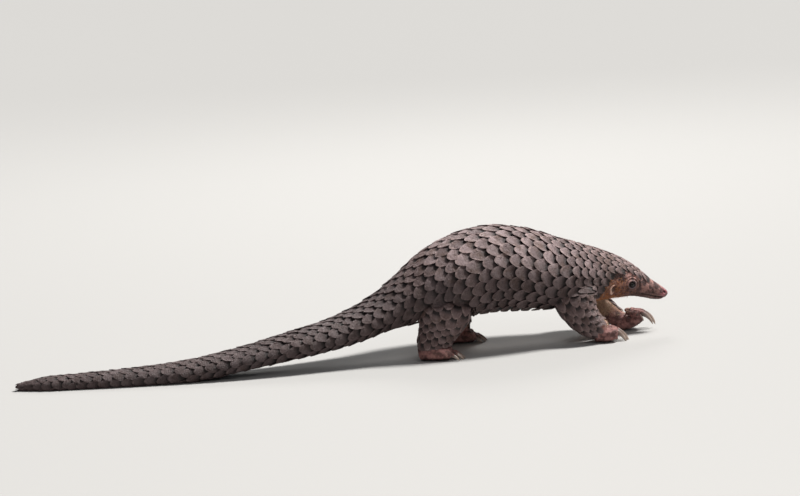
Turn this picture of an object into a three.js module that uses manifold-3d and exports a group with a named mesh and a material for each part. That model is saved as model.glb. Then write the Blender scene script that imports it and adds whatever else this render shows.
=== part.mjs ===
// A Sunda pangolin (Manis javanica) at life size, walking with its head low and its long tail on the ground.
// Millimetres, +X towards the nose, +Y to the animal's left, +Z up. The origin is under the middle of the box.
// The body is one skin lofted along the spine, with overlapping scales sunk into it, parted by thin cuts.

import * as THREE from "three";
import { mergeVertices } from "three/addons/utils/BufferGeometryUtils.js";
import Module from "manifold-3d";

const wasm = await Module();
wasm.setup();

// Driving dimensions
const GAP = 0.3; // between parts that touch
const SWEEP_SHIFT = 88; // from the tail's line to the middle of the box, across
const SUNK = 3.5; // how deep a scale's underside lies in the skin
const TIDY = 0.04; // vertices closer to a flat face or straight edge than this are dropped
const BODY_MERGE = 0.65; // how far a scale's corner may move where it meets its neighbours
const LIMB_MERGE = 0.1; // the same on the limbs and on what is cut to them
const SKIN_SIDES = 16;
const LEG_SIDES = 10;
const LIMB_STEPS = 6;
const PAW_SIDES = 8;
const PAW_STEPS = 5;
const CLAW_SIDES = 5;
const CLAW_STEPS = 3;
const CLAW_SECTION = { across: 0.42, deep: 0.5, taper: 0.65 }; // half sizes as shares of its width
const TOE = { back: 2, rise: 0.5, across: 0.62, deep: 0.66 }; // from the claw's root, sizes as shares
const SCALE_LENGTH = 2.4; // of the room between rings
const SCALE_WIDTH = 1.56; // of the room between rows
const STRAY = { length: 0.05, width: 0.04, lift: 0.12 }; // how far scales differ from one another

// Where a paw is cut from its leg: a point, and the direction towards the leg
const PAW_CUTS = {
  hindpaw_right: { point: [121, -48, 24], normal: [0, 0, 1] },
  hindpaw_left: { point: [155, 60, 24], normal: [0, 0, 1] },
  forepaw_right: { point: [351, 1, 24], normal: [-0.7, 0, 0.7] },
  forepaw_left: { point: [386, 80, 21], normal: [-0.7, 0, 0.7] },
};

// Down the middle from nose to tail: x, y, z of the section's centre, half width, height above, depth below
const BODY = {
  noseTip: [461.5, 152, 51, 2.6, 3, 3.6],
  nose: [458.5, 152, 53, 5.6, 4.8, 8],
  muzzle: [450, 151.5, 57, 9, 7.8, 13],
  snout: [435, 150.5, 64, 13, 11.5, 16.5],
  brow: [419, 149, 72, 17.8, 15.8, 21],
  eyes: [407, 147.5, 77.5, 22.5, 20.3, 26],
  crown: [393, 146, 82, 27, 26, 29.5],
  ears: [378, 144.5, 85, 31, 31, 32.5],
  neck: [357, 141.5, 87.5, 40.5, 37.5, 37],
  withers: [329, 137, 90.5, 53, 44, 46],
  chest: [292, 130, 97.5, 62, 49, 49],
  ribs: [252, 122, 105, 67, 56.5, 54],
  hump: [212, 113.5, 109, 69, 60, 57],
  loin: [172, 103.5, 107, 67, 55, 56],
  hips: [132, 93, 98, 61, 45.5, 49],
  rump: [95, 81, 84, 52, 32, 35],
  root: [55, 68, 68, 43.5, 21.5, 22],
  tailFirst: [-1, 49.5, 49, 38, 17, 16.5],
  tailSecond: [-71, 29, 36, 33.5, 14.5, 14],
  tailThird: [-143, 13, 24, 29.5, 12.5, 12],
  tailFourth: [-208, 4.5, 14.5, 26, 12, 12.5],
  tailFifth: [-293, 0, 9.5, 21, 10.5, 10.5],
  tailSixth: [-368, -0.5, 8, 17, 9, 9],
  tailLast: [-425, -0.5, 7, 12, 7.5, 8],
  tip: [-451, 0, 6, 4, 3.5, 4],
};

// Vectors
const vec = (x, y, z) => new THREE.Vector3(x, y, z);
const UP = vec(0, 0, 1);
const mix = (a, b, t) => a + (b - a) * t;
const ease = (from, to, value) => THREE.MathUtils.smoothstep(value, from, to);

// A smooth line through rows of numbers, the first three of them a point, measured in millimetres along it
function trackThrough(rows) {
  const marks = [0];
  for (let i = 1; i < rows.length; i++) {
    marks.push(marks[i - 1] + Math.hypot(...[0, 1, 2].map((k) => rows[i][k] - rows[i - 1][k])));
  }
  const step = (i, k) => (rows[i + 1][k] - rows[i][k]) / (marks[i + 1] - marks[i]);
  const slope = (i, k) => {
    if (i === 0) return step(0, k);
    if (i === rows.length - 1) return step(i - 1, k);
    const before = marks[i] - marks[i - 1];
    const after = marks[i + 1] - marks[i];
    return (step(i - 1, k) * after + step(i, k) * before) / (before + after);
  };
  const slopes = rows.map((row, i) => row.map((_, k) => slope(i, k)));
  return {
    marks,
    length: marks.at(-1),
    at(distance) {
      const s = THREE.MathUtils.clamp(distance, 0, marks.at(-1));
      let i = 0;
      while (i < marks.length - 2 && s > marks[i + 1]) i++;
      const span = marks[i + 1] - marks[i];
      const t = (s - marks[i]) / span;
      const [square, cube] = [t * t, t * t * t];
      const leaving = [2 * cube - 3 * square + 1, cube - 2 * square + t];
      const hermite = [...leaving, 3 * square - 2 * cube, cube - square];
      const rate = [6 * square - 6 * t, 3 * square - 4 * t + 1, 6 * t - 6 * square, 3 * square - 2 * t];
      const sum = (w, k) => {
        const [a, b] = [rows[i][k], rows[i + 1][k]];
        return w[0] * a + w[1] * span * slopes[i][k] + w[2] * b + w[3] * span * slopes[i + 1][k];
      };
      return {
        values: rows[i].map((_, k) => sum(hermite, k)),
        along: vec(...[0, 1, 2].map((k) => sum(rate, k) / span)).normalize(),
      };
    },
  };
}

const bodyRows = Object.values(BODY).map(([x, y, ...rest]) => [x, y - SWEEP_SHIFT, ...rest]);
const spine = trackThrough(bodyRows);
const place = Object.fromEntries(Object.keys(BODY).map((name, i) => [name, spine.marks[i]]));

// A point on a rounded section: angle 0 is the top, a quarter turn the left side
function sectionPoint(angle, round, halfWidth, above, below) {
  const side = Math.sin(angle);
  const height = Math.cos(angle);
  return [
    halfWidth * Math.sign(side) * Math.abs(side) ** (2 / round),
    (height > 0 ? above : below) * Math.sign(height) * Math.abs(height) ** (2 / round),
  ];
}

// A skin round a track, towards a top direction: skin(distance, angle, swell) with angle 0 at the top
function skinRound(track, top, roundness) {
  return (distance, angle, swell = 0) => {
    const { values, along } = track.at(distance);
    const [x, y, z, half, above, below] = values;
    const upward = top.clone().addScaledVector(along, -along.dot(top)).normalize();
    const across = along.clone().cross(upward);
    const round = roundness(distance, angle);
    const [a, b] = sectionPoint(angle, round, half + swell, above + swell, below + swell);
    return vec(x, y, z).addScaledVector(across, a).addScaledVector(upward, b);
  };
}

const bodySkin = skinRound(spine, UP, (distance, angle) => {
  const tail = ease(place.rump, place.tailSecond, distance);
  return Math.cos(angle) > 0 ? 2.1 : mix(2.2, 2.9, tail);
});

// Solids and geometries
function solidOf(geometry) {
  const plain = geometry.clone();
  for (const name of Object.keys(plain.attributes)) {
    if (name !== "position") plain.deleteAttribute(name);
  }
  const merged = mergeVertices(plain, 1e-4);
  const vertProperties = new Float32Array(merged.attributes.position.array);
  const triVerts = new Uint32Array(merged.index.array);
  const make = () => new wasm.Manifold(new wasm.Mesh({ numProp: 3, vertProperties, triVerts }));
  const solid = make();
  if (solid.volume() > 0) return solid;
  for (let i = 0; i < triVerts.length; i += 3) {
    [triVerts[i + 1], triVerts[i + 2]] = [triVerts[i + 2], triVerts[i + 1]];
  }
  return make();
}

function geometryOf(solid) {
  const mesh = solid.getMesh();
  const points = new Float32Array(mesh.numVert * 3);
  for (let i = 0; i < mesh.numVert; i++) {
    points.set(mesh.vertProperties.subarray(i * mesh.numProp, i * mesh.numProp + 3), i * 3);
  }
  const geometry = new THREE.BufferGeometry();
  geometry.setAttribute("position", new THREE.BufferAttribute(points, 3));
  geometry.setIndex(new THREE.BufferAttribute(new Uint32Array(mesh.triVerts), 1));
  geometry.computeVertexNormals();
  return geometry;
}

const join = (solids) => wasm.Manifold.union(solids);

// The largest closed piece, without the loose scraps that a cut leaves
function largest(solid) {
  const pieces = solid.asOriginal().simplify(TIDY).decompose();
  return pieces.reduce((best, piece) => (piece.volume() > best.volume() ? piece : best));
}

// A cylinder bent so that its rows stand at the stops and its wall follows a skin
function loftOf(skin, stops, sides) {
  const cylinder = new THREE.CylinderGeometry(1, 1, 1, sides, stops.length - 1);
  const position = cylinder.attributes.position;
  const bent = vec(0, 0, 0);
  for (let i = 0; i < position.count; i++) {
    const [x, y, z] = [position.getX(i), position.getY(i), position.getZ(i)];
    const stop = stops[Math.round((0.5 - y) * (stops.length - 1))];
    const angle = Math.atan2(x, z);
    const centre = skin(stop, 0).add(skin(stop, Math.PI)).multiplyScalar(0.5);
    bent.lerpVectors(centre, skin(stop, angle), Math.hypot(x, z));
    position.setXYZ(i, bent.x, bent.y, bent.z);
  }
  return solidOf(cylinder);
}

// Stops along a track: each leg of the list is [to, how many steps]
function stopsFrom(start, legs) {
  const stops = [start];
  for (const [to, count] of legs) {
    const from = stops.at(-1);
    for (let i = 1; i <= count; i++) stops.push(mix(from, to, i / count));
  }
  return stops;
}

const bodyStops = stopsFrom(0, [
  [place.nose, 1],
  [place.muzzle, 2],
  [place.eyes, 6],
  [place.ears, 3],
  [place.withers, 3],
  [place.root, 13],
  [place.tailFourth, 8],
  [place.tailLast, 6],
  [spine.length, 2],
]);

// Scales
// How far round a skin a walk across it from the top reaches
function angleAcross(skin, distance, across) {
  const stride = Math.PI / 60;
  let walked = 0;
  let angle = 0;
  let here = skin(distance, 0);
  while (angle < Math.PI) {
    const next = skin(distance, angle + stride);
    const step = next.distanceTo(here);
    if (walked + step >= Math.abs(across)) {
      angle += (stride * (Math.abs(across) - walked)) / step;
      break;
    }
    walked += step;
    angle += stride;
    here = next;
  }
  return Math.sign(across) * angle;
}

function arcTo(skin, distance, angle) {
  const steps = 24;
  let walked = 0;
  for (let i = 0; i < steps; i++) {
    walked += skin(distance, (angle * i) / steps).distanceTo(skin(distance, (angle * (i + 1)) / steps));
  }
  return walked;
}

// One scale: a flat shield, sunk into the skin at its root and standing off it at its free edge
const SHIELD = [[0, -0.28], [0.5, -0.5], [1, -0.26], [1, 0.26], [0.5, 0.5], [0, 0.28]];
const ROOT_SHARE = -0.3; // the root's height as a share of the free edge's
const shield = new THREE.ExtrudeGeometry(
  new THREE.Shape(SHIELD.map(([along, across]) => new THREE.Vector2(along, across))),
  { depth: 1, steps: 1, bevelEnabled: false },
);

// The directions of a skin at a place: back along it, across it and out of it
function frameOn(skin, distance, angle) {
  const reach = 2;
  const turn = 0.02;
  const point = skin(distance, angle);
  const back = skin(distance + reach, angle).sub(skin(distance - reach, angle)).normalize();
  const across = skin(distance, angle + turn).sub(skin(distance, angle - turn)).normalize();
  const out = across.clone().cross(back).normalize();
  return { point, back, across, out };
}

function scaleSolid(skin, { distance, angle, length, width, lift }, swell = 0) {
  const stretch = skin(distance + 1, angle).distanceTo(skin(distance, angle));
  const { point, back, across, out } = frameOn(skin, distance + (length * 0.5) / stretch, angle);
  const geometry = shield.clone();
  const position = geometry.attributes.position;
  for (let i = 0; i < position.count; i++) {
    const [a, c, h] = [position.getX(i), position.getY(i), position.getZ(i)];
    const height = h > 0.5 ? mix(ROOT_SHARE * lift, lift, a) + swell : -SUNK - swell;
    const p = point.clone().addScaledVector(back, (a - 0.5) * (length + 2 * swell));
    p.addScaledVector(across, c * (width + 2 * swell)).addScaledVector(out, height);
    position.setXYZ(i, p.x, p.y, p.z);
  }
  return solidOf(geometry);
}

// A repeatable draw between -1 and 1
function drawsFrom(seed) {
  let state = seed;
  return () => {
    state = (state * 16807) % 2147483647;
    return (state / 2147483647) * 2 - 1;
  };
}
const draw = drawsFrom(9338);

// Rings of scales down a skin. Neighbouring rings are half a scale apart across, as bricks are.
function scaleRings(skin, { from, to, rows, edge, ring, lift }) {
  const found = [];
  let parity = 0;
  for (let distance = from; distance < to; distance += ring(distance)) {
    const count = rows(distance);
    const pitch = arcTo(skin, distance, edge(distance)) / count;
    for (let row = -count; row <= count; row++) {
      if ((row + parity) % 2 !== 0) continue;
      found.push({
        distance,
        angle: angleAcross(skin, distance, row * pitch),
        length: ring(distance) * SCALE_LENGTH * (1 + STRAY.length * draw()),
        width: pitch * SCALE_WIDTH * (1 + STRAY.width * draw()),
        lift: lift(distance) * (1 + STRAY.lift * draw()),
      });
    }
    parity = 1 - parity;
  }
  return found;
}

const degrees = THREE.MathUtils.degToRad;

// The value of a table of [distance, value] at a distance, straight between its rows
function between(table, distance) {
  const after = table.findIndex(([to]) => to >= distance);
  if (after < 0) return table.at(-1)[1];
  if (after === 0) return table[0][1];
  const [[from, start], [to, end]] = [table[after - 1], table[after]];
  return mix(start, end, (distance - from) / (to - from));
}

// Down the spine: how far round from the top the scales reach in degrees, the room between rings, and how far
// a free edge stands off the skin
const SCALE_REACH = [
  [place.snout, 44],
  [place.crown, 60],
  [place.ears + 10, 114],
  [place.neck + 10, 144],
  [place.chest, 156],
  [place.hump, 138],
  [place.hips, 124],
  [place.rump, 140],
  [place.tailFirst, 126],
  [place.tip, 110],
];
const SCALE_ROOM = [
  [place.brow, 5.5],
  [place.chest, 10.8],
  [place.rump, 11.4],
  [place.tailFirst, 12.6],
];
const SCALE_LIFT = [
  [place.brow, 1.2],
  [place.chest, 3],
];
// How many rows lie on each side of the middle one, as far as each place
const SCALE_ROWS = [
  [place.eyes, 3],
  [place.ears, 4],
  [place.neck, 6],
  [place.hips, 8],
  [place.rump, 7],
  [place.root, 6],
  [place.tailThird, 5],
  [place.tip, 4],
];
const bodyScales = scaleRings(bodySkin, {
  from: place.snout + 4,
  to: place.tip - 14,
  rows: (s) => SCALE_ROWS.find(([to]) => s < to)[1],
  edge: (s) => degrees(between(SCALE_REACH, s)),
  ring: (s) => between(SCALE_ROOM, s),
  lift: (s) => between(SCALE_LIFT, s),
});

// A loft with its scales, tidied to fewer faces
function scaled(skin, stops, sides, scales, swell, merge) {
  const core = loftOf((s, angle) => skin(s, angle, swell), stops, sides);
  const whole = join([core, ...scales.map((scale) => scaleSolid(skin, scale, swell))]);
  return whole.asOriginal().simplify(merge);
}

// Limbs
// Each row down a limb: x, y, z, half its width fore and aft, thickness outwards, thickness inwards
const LIMBS = {
  hindleg_right: {
    side: -1,
    rows: [
      [147, -31, 84, 40, 18, 22],
      [141, -39, 64, 35, 21, 19],
      [129, -45, 38, 25, 18, 17],
      [121, -48, 18, 20, 16, 16],
      [120, -48, 8, 20, 16, 16],
    ],
  },
  hindleg_left: {
    side: 1,
    rows: [
      [147, 44, 84, 40, 18, 22],
      [149, 52, 64, 35, 21, 19],
      [153, 57, 38, 25, 18, 17],
      [155, 60, 18, 20, 16, 16],
      [155, 60, 8, 20, 16, 16],
    ],
  },
  foreleg_right: {
    side: -1,
    rows: [
      [325, 13, 82, 34, 20, 20],
      [325, 3, 62, 29, 20, 17],
      [333, -1, 42, 22, 17, 16],
      [349, 0, 26, 17, 15, 14],
      [363, 3, 17, 14, 13, 12],
    ],
  },
  foreleg_left: {
    side: 1,
    rows: [
      [329, 87, 82, 34, 12, 24],
      [339, 92, 62, 27, 17, 19],
      [358, 89, 42, 18, 16, 15],
      [379, 83, 25, 14, 14, 13],
      [398, 79, 11, 12, 13, 12],
    ],
  },
};

// Each row along a paw from heel to toes: x, y, z, half width, height above, depth below
const PAWS = {
  hindpaw_right: [
    [99, -48, 9, 13, 9, 11],
    [113, -48, 11, 18, 12, 13],
    [133, -49, 10, 20, 11, 12],
    [149, -50, 8, 19, 8, 10],
    [158, -51, 7, 15, 5, 8],
  ],
  hindpaw_left: [
    [134, 60, 9, 13, 9, 11],
    [148, 60, 11, 18, 12, 13],
    [168, 61, 10, 20, 11, 12],
    [184, 62, 8, 19, 8, 10],
    [193, 63, 7, 15, 5, 8],
  ],
  forepaw_right: [
    [349, 1, 10, 12, 10, 12],
    [359, 3, 12, 15, 11, 14],
    [371, 5, 12, 17, 11, 14],
    [383, 7, 12, 16, 9, 10],
    [390, 8, 12, 12, 6, 7],
  ],
  forepaw_left: [
    [387, 79, 9, 11, 9, 10],
    [398, 79, 9, 15, 10, 11],
    [411, 80, 13, 17, 9, 9],
    [424, 80, 20, 16, 7.5, 7.5],
    [432, 81, 23, 12, 5.5, 5.5],
  ],
};

// Each claw: root x, y, z, heading to the left, pitch down, curl down, length and width
const CLAWS = {
  hindpaw_right: [-2, -1, 0, 1, 2].map((i) => ({
    root: [154 - 1.6 * i * i, -51 + 7.4 * i, 8],
    heading: 8 * i - 4,
    pitch: 8,
    curl: 45,
    length: 17 - Math.abs(i),
    width: 6.4,
  })),
  hindpaw_left: [-2, -1, 0, 1, 2].map((i) => ({
    root: [189 - 1.6 * i * i, 63 + 7.4 * i, 8],
    heading: 8 * i + 4,
    pitch: 8,
    curl: 45,
    length: 17 - Math.abs(i),
    width: 6.4,
  })),
  forepaw_right: [-2, -1, 0, 1, 2].map((i) => ({
    root: [384 - 2.2 * i * i, 8 + 6.8 * i, 15],
    heading: 6 * i + 4,
    pitch: 18,
    curl: 58,
    length: [15, 25, 28, 24, 14][i + 2],
    width: [6, 8, 8.6, 8, 5.6][i + 2],
  })),
  forepaw_left: [-2, -1, 0, 1, 2].map((i) => ({
    root: [427 - 2.2 * i * i, 81 + 6.8 * i, 24],
    heading: 6 * i + 4,
    pitch: 15,
    curl: 62,
    length: [15, 25, 28, 24, 14][i + 2],
    width: [6, 8, 8.6, 8, 5.6][i + 2],
  })),
};

const limbTracks = {};
const limbSkins = {};
for (const [name, { side, rows }] of Object.entries(LIMBS)) {
  limbTracks[name] = trackThrough(rows);
  limbSkins[name] = skinRound(limbTracks[name], vec(0, side, 0), () => 2.2);
}

function limbSolid(name, swell) {
  const track = limbTracks[name];
  const skin = limbSkins[name];
  const scales = limbScales[name];
  return scaled(skin, stopsFrom(0, [[track.length, LIMB_STEPS]]), LEG_SIDES, scales, swell, LIMB_MERGE);
}

const limbScales = Object.fromEntries(
  Object.entries(limbTracks).map(([name, track]) => [
    name,
    scaleRings(limbSkins[name], {
      from: track.marks[1] + 2,
      to: track.marks[3] - 3,
      rows: () => 2,
      edge: () => degrees(62),
      ring: () => 9,
      lift: () => 1.8,
    }),
  ]),
);

function clawSolid({ root, heading, pitch, curl, length, width }) {
  const cone = new THREE.ConeGeometry(1, 1, CLAW_SIDES, CLAW_STEPS);
  const position = cone.attributes.position;
  const forward = vec(Math.cos(degrees(heading)), Math.sin(degrees(heading)), 0);
  const across = UP.clone().cross(forward);
  const [start, turn] = [degrees(pitch), degrees(curl)];
  for (let i = 0; i < position.count; i++) {
    const t = position.getY(i) + 0.5;
    const fill = t < 1 ? (1 - t) ** CLAW_SECTION.taper / (1 - t) : 0;
    const bend = start + turn * t;
    const run = ((Math.sin(bend) - Math.sin(start)) / turn) * length;
    const fall = ((Math.cos(start) - Math.cos(bend)) / turn) * length;
    const normal = forward.clone().multiplyScalar(Math.sin(bend)).addScaledVector(UP, Math.cos(bend));
    const p = vec(...root).addScaledVector(forward, run).addScaledVector(UP, -fall);
    p.addScaledVector(across, position.getX(i) * fill * width * CLAW_SECTION.across);
    p.addScaledVector(normal, -position.getZ(i) * fill * width * CLAW_SECTION.deep);
    position.setXYZ(i, p.x, p.y, p.z);
  }
  return solidOf(cone);
}

function ballSolid(centre, radii, sides = 8, rings = 5) {
  const ball = new THREE.SphereGeometry(1, sides, rings);
  ball.scale(...radii);
  ball.translate(...centre);
  return solidOf(ball);
}

function pawSolid(name) {
  const track = trackThrough(PAWS[name]);
  const skin = skinRound(track, UP, () => 2.4);
  const pieces = [loftOf(skin, stopsFrom(0, [[track.length, PAW_STEPS]]), PAW_SIDES)];
  for (const claw of CLAWS[name]) {
    const [x, y, z] = claw.root;
    const knuckle = [claw.width, claw.width * TOE.across, claw.width * TOE.deep];
    pieces.push(clawSolid(claw), ballSolid([x - TOE.back, y, z + TOE.rise], knuckle, 6, 4));
  }
  return join(pieces);
}

// Cuts
// What lies on the far side of a plane, past half a gap
function beyond(solid, normal, point, gap = GAP) {
  return solid.trimByPlane([normal.x, normal.y, normal.z], normal.dot(point) + gap / 2);
}
const onFloor = (solid) => solid.trimByPlane([0, 0, 1], 0);

// Head
// Profiles are pairs of distance from the middle and height above the skin.
const EYE = { distance: place.eyes - 2.5, angle: 97, radius: 4.6, depth: 1.9 };
const LIDS = { stretch: 1.15, profile: [[4.3, -2], [4.3, 1], [5.2, 1.5], [6.3, 0.5], [6.8, -2], [4.3, -2]] };
const EAR = {
  distance: place.ears - 5.5,
  angle: 116,
  narrow: 0.72,
  outside: [[0, -4.5], [5.5, -4], [7.5, 0], [8.4, 3.4]],
  inside: [[7.2, 3.6], [6, 0.4], [4, -1.8], [0, -2.4]],
};
const NOSTRIL = { distance: place.nose + 2.6, angle: 72, radii: [1.7, 1.3, 1.4] };
const MOUTH = {
  from: place.nose + 1.5,
  to: place.nose + 36,
  levels: [0.58, 0.62], // how far below the section's centre, as a share of its depth
  width: 2.6, // of the head's half width, so that it passes both cheeks
  lips: { tall: 4.6, proud: 0.9 },
  gap: { tall: 0.9, deep: 1.5 },
};

function latheOf(profile, sides) {
  return new THREE.LatheGeometry(profile.map(([r, h]) => new THREE.Vector2(r, h)), sides);
}

// Sets a geometry on the head: its own Y points outwards, its X back along the head and its Z across it
function onSkin(geometry, { point, back, across, out }) {
  return geometry.applyMatrix4(new THREE.Matrix4().makeBasis(back, out, across).setPosition(point));
}

function lidsSolid(place) {
  const ring = latheOf(LIDS.profile, 10);
  ring.scale(LIDS.stretch, 1, 1 / LIDS.stretch);
  return solidOf(onSkin(ring, place));
}

// An ear's open cup, or the filled and swollen space that it sits in
function earSolid(place) {
  const cup = latheOf([...EAR.outside, ...EAR.inside], 10);
  cup.scale(EAR.narrow, 1, 1);
  return solidOf(onSkin(cup, place));
}

function earSpace(place) {
  const wall = EAR.outside.map(([r, h]) => [r > 0 ? r + GAP : 0, h < -1 ? h - GAP : h + GAP]);
  const filled = latheOf([...wall, [0, wall.at(-1)[1]]], 10);
  filled.scale(EAR.narrow, 1, 1);
  return solidOf(onSkin(filled, place));
}

// A band across the head that follows the mouth's line from the nose back
function mouthBand(thickness) {
  const { from, to, levels, width } = MOUTH;
  const box = new THREE.BoxGeometry(1, 1, 1, 8, 1, 1);
  const position = box.attributes.position;
  for (let i = 0; i < position.count; i++) {
    const s = mix(from, to, position.getX(i) + 0.5);
    const { values, along } = spine.at(s);
    const [x, y, z, half, , below] = values;
    const upward = UP.clone().addScaledVector(along, -along.dot(UP)).normalize();
    const across = along.clone().cross(upward);
    const level = -below * mix(...levels, ease(from, to, s));
    const p = vec(x, y, z).addScaledVector(across, position.getY(i) * width * half);
    p.addScaledVector(upward, level + position.getZ(i) * thickness);
    position.setXYZ(i, p.x, p.y, p.z);
  }
  return solidOf(box);
}

const headStops = stopsFrom(0, [[place.nose, 1], [place.muzzle, 2], [place.eyes, 6]]);
const snoutCore = (swell) => loftOf((s, angle) => bodySkin(s, angle, swell), headStops, SKIN_SIDES);

const eyes = {};
const ears = {};
const headAdds = [];
const headCuts = [];
for (const [name, side] of [["right", -1], ["left", 1]]) {
  const onHead = ({ distance, angle }) => frameOn(bodySkin, distance, side * degrees(angle));
  const eyePlace = onHead(EYE);
  const centre = eyePlace.point.clone().addScaledVector(eyePlace.out, -EYE.depth).toArray();
  const eyeball = (radius) => ballSolid(centre, [radius, radius, radius], 10, 7);
  eyes[`eye_${name}`] = eyeball(EYE.radius);
  ears[`ear_${name}`] = earSolid(onHead(EAR));
  headAdds.push(lidsSolid(eyePlace));
  headCuts.push(eyeball(EYE.radius + GAP), earSpace(onHead(EAR)));
  headCuts.push(ballSolid(onHead(NOSTRIL).point.toArray(), NOSTRIL.radii, 6, 4));
}

// Assembly
const bodySolid = scaled(bodySkin, bodyStops, SKIN_SIDES, bodyScales, 0, BODY_MERGE);
const lips = mouthBand(MOUTH.lips.tall).intersect(snoutCore(MOUTH.lips.proud));
const mouth = mouthBand(MOUTH.gap.tall).subtract(snoutCore(-MOUTH.gap.deep));
let flesh = join([bodySolid, lips, ...headAdds]).subtract(join([mouth, ...headCuts]));
flesh = flesh.subtract(join(Object.keys(LIMBS).map((name) => limbSolid(name, GAP))));
flesh = onFloor(flesh.asOriginal().simplify(LIMB_MERGE));

const CUTS = {
  head: place.ears + 4,
  neck: place.neck + 11,
  torso: place.root - 2,
  tail_base: mix(place.tailSecond, place.tailThird, 0.5),
  tail_mid: mix(place.tailFourth, place.tailFifth, 0.8),
};
const nodes = {};
let rest = flesh;
for (const [name, distance] of Object.entries(CUTS)) {
  const { values, along } = spine.at(distance);
  const point = vec(values[0], values[1], values[2]);
  nodes[name] = beyond(rest, along.clone().negate(), point);
  rest = beyond(rest, along, point);
}
nodes.tail_tip = rest;

for (const name of Object.keys(LIMBS)) {
  const paw = name.replace("leg", "paw");
  const limb = limbSolid(name, 0);
  const cut = vec(...PAW_CUTS[paw].normal).normalize();
  const at = vec(...PAW_CUTS[paw].point);
  nodes[name] = beyond(limb, cut, at);
  nodes[paw] = onFloor(beyond(join([pawSolid(paw), limb]), cut.clone().negate(), at));
}
Object.assign(nodes, eyes, ears);

const COLOURS = { scales: 0x6e5c54, skin: 0x9a7a68, eye: 0x0c0908, ear: 0xb08674 };
const colourOf = (name) => {
  if (name.startsWith("eye")) return COLOURS.eye;
  if (name.startsWith("ear")) return COLOURS.ear;
  return name.includes("paw") ? COLOURS.skin : COLOURS.scales;
};

const pangolin = new THREE.Group();
for (const [name, solid] of Object.entries(nodes)) {
  const kept = largest(solid);
  const glossy = name.startsWith("eye");
  const mesh = new THREE.Mesh(
    geometryOf(kept),
    new THREE.MeshStandardMaterial({ color: colourOf(name), roughness: glossy ? 0.1 : 0.6, metalness: 0 }),
  );
  mesh.name = name;
  pangolin.add(mesh);
}
export default pangolin;
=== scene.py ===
import math

import bmesh
import bpy
import numpy as np
from mathutils import Matrix, Vector


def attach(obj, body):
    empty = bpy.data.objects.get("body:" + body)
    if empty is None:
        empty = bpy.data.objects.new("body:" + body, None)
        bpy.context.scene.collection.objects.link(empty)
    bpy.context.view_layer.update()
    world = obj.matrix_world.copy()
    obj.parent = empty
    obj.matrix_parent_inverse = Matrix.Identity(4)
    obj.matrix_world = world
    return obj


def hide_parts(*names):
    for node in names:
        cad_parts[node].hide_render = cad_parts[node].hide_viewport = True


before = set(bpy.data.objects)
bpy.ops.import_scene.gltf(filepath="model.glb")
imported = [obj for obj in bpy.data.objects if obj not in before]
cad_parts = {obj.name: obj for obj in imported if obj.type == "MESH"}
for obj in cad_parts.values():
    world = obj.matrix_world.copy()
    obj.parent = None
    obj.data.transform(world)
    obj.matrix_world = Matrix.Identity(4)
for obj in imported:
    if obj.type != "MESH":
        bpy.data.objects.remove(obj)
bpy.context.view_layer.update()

MM = 0.001
rng = np.random.default_rng(9338)

# Down the middle from nose to tail: x, y, z of the section's centre, half width, height above, depth below
BODY = dict(
    noseTip=(461.5, 64, 51, 2.6, 3, 3.6),
    nose=(458.5, 64, 53, 5.6, 4.8, 8),
    muzzle=(450, 63.5, 57, 9, 7.8, 13),
    snout=(435, 62.5, 64, 13, 11.5, 16.5),
    brow=(419, 61, 72, 17.8, 15.8, 21),
    eyes=(407, 59.5, 77.5, 22.5, 20.3, 26),
    crown=(393, 58, 82, 27, 26, 29.5),
    ears=(378, 56.5, 85, 31, 31, 32.5),
    neck=(357, 53.5, 87.5, 40.5, 37.5, 37),
    withers=(329, 49, 90.5, 53, 44, 46),
    chest=(292, 42, 97.5, 62, 49, 49),
    ribs=(252, 34, 105, 67, 56.5, 54),
    hump=(212, 25.5, 109, 69, 60, 57),
    loin=(172, 15.5, 107, 67, 55, 56),
    hips=(132, 5, 98, 61, 45.5, 49),
    rump=(95, -7, 84, 52, 32, 35),
    root=(55, -20, 68, 43.5, 21.5, 22),
    tailFirst=(-1, -38.5, 49, 38, 17, 16.5),
    tailSecond=(-71, -59, 36, 33.5, 14.5, 14),
    tailThird=(-143, -75, 24, 29.5, 12.5, 12),
    tailFourth=(-208, -83.5, 14.5, 26, 12, 12.5),
    tailFifth=(-293, -88, 9.5, 21, 10.5, 10.5),
    tailSixth=(-368, -88.5, 8, 17, 9, 9),
    tailLast=(-425, -88.5, 7, 12, 7.5, 8),
    tip=(-451, -88, 6, 4, 3.5, 4),
)

# Down each limb: x, y, z, half its width fore and aft, thickness outwards, thickness inwards
LIMBS = {
    "hindleg_right": (-1, [
        (147, -31, 84, 38, 10, 22), (141, -39, 64, 35, 21, 19), (129, -45, 38, 25, 18, 17),
        (121, -48, 18, 19, 16, 16), (121, -48, 8, 14, 12, 12),
    ]),
    "hindleg_left": (1, [
        (147, 44, 84, 38, 10, 22), (149, 52, 64, 35, 21, 19), (153, 57, 38, 25, 18, 17),
        (155, 60, 18, 19, 16, 16), (155, 60, 8, 14, 12, 12),
    ]),
    "foreleg_right": (-1, [
        (325, 14, 84, 32, 8, 20), (327, 5, 62, 29, 18, 17), (335, 0, 42, 22, 16, 16),
        (349, 0, 26, 17, 15, 14), (363, 3, 17, 14, 13, 12),
    ]),
    "foreleg_left": (1, [
        (329, 86, 82, 32, 5, 24), (339, 92, 62, 27, 17, 19), (358, 89, 42, 18, 16, 15),
        (379, 83, 25, 14, 14, 13), (398, 79, 11, 12, 13, 12),
    ]),
}

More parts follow.
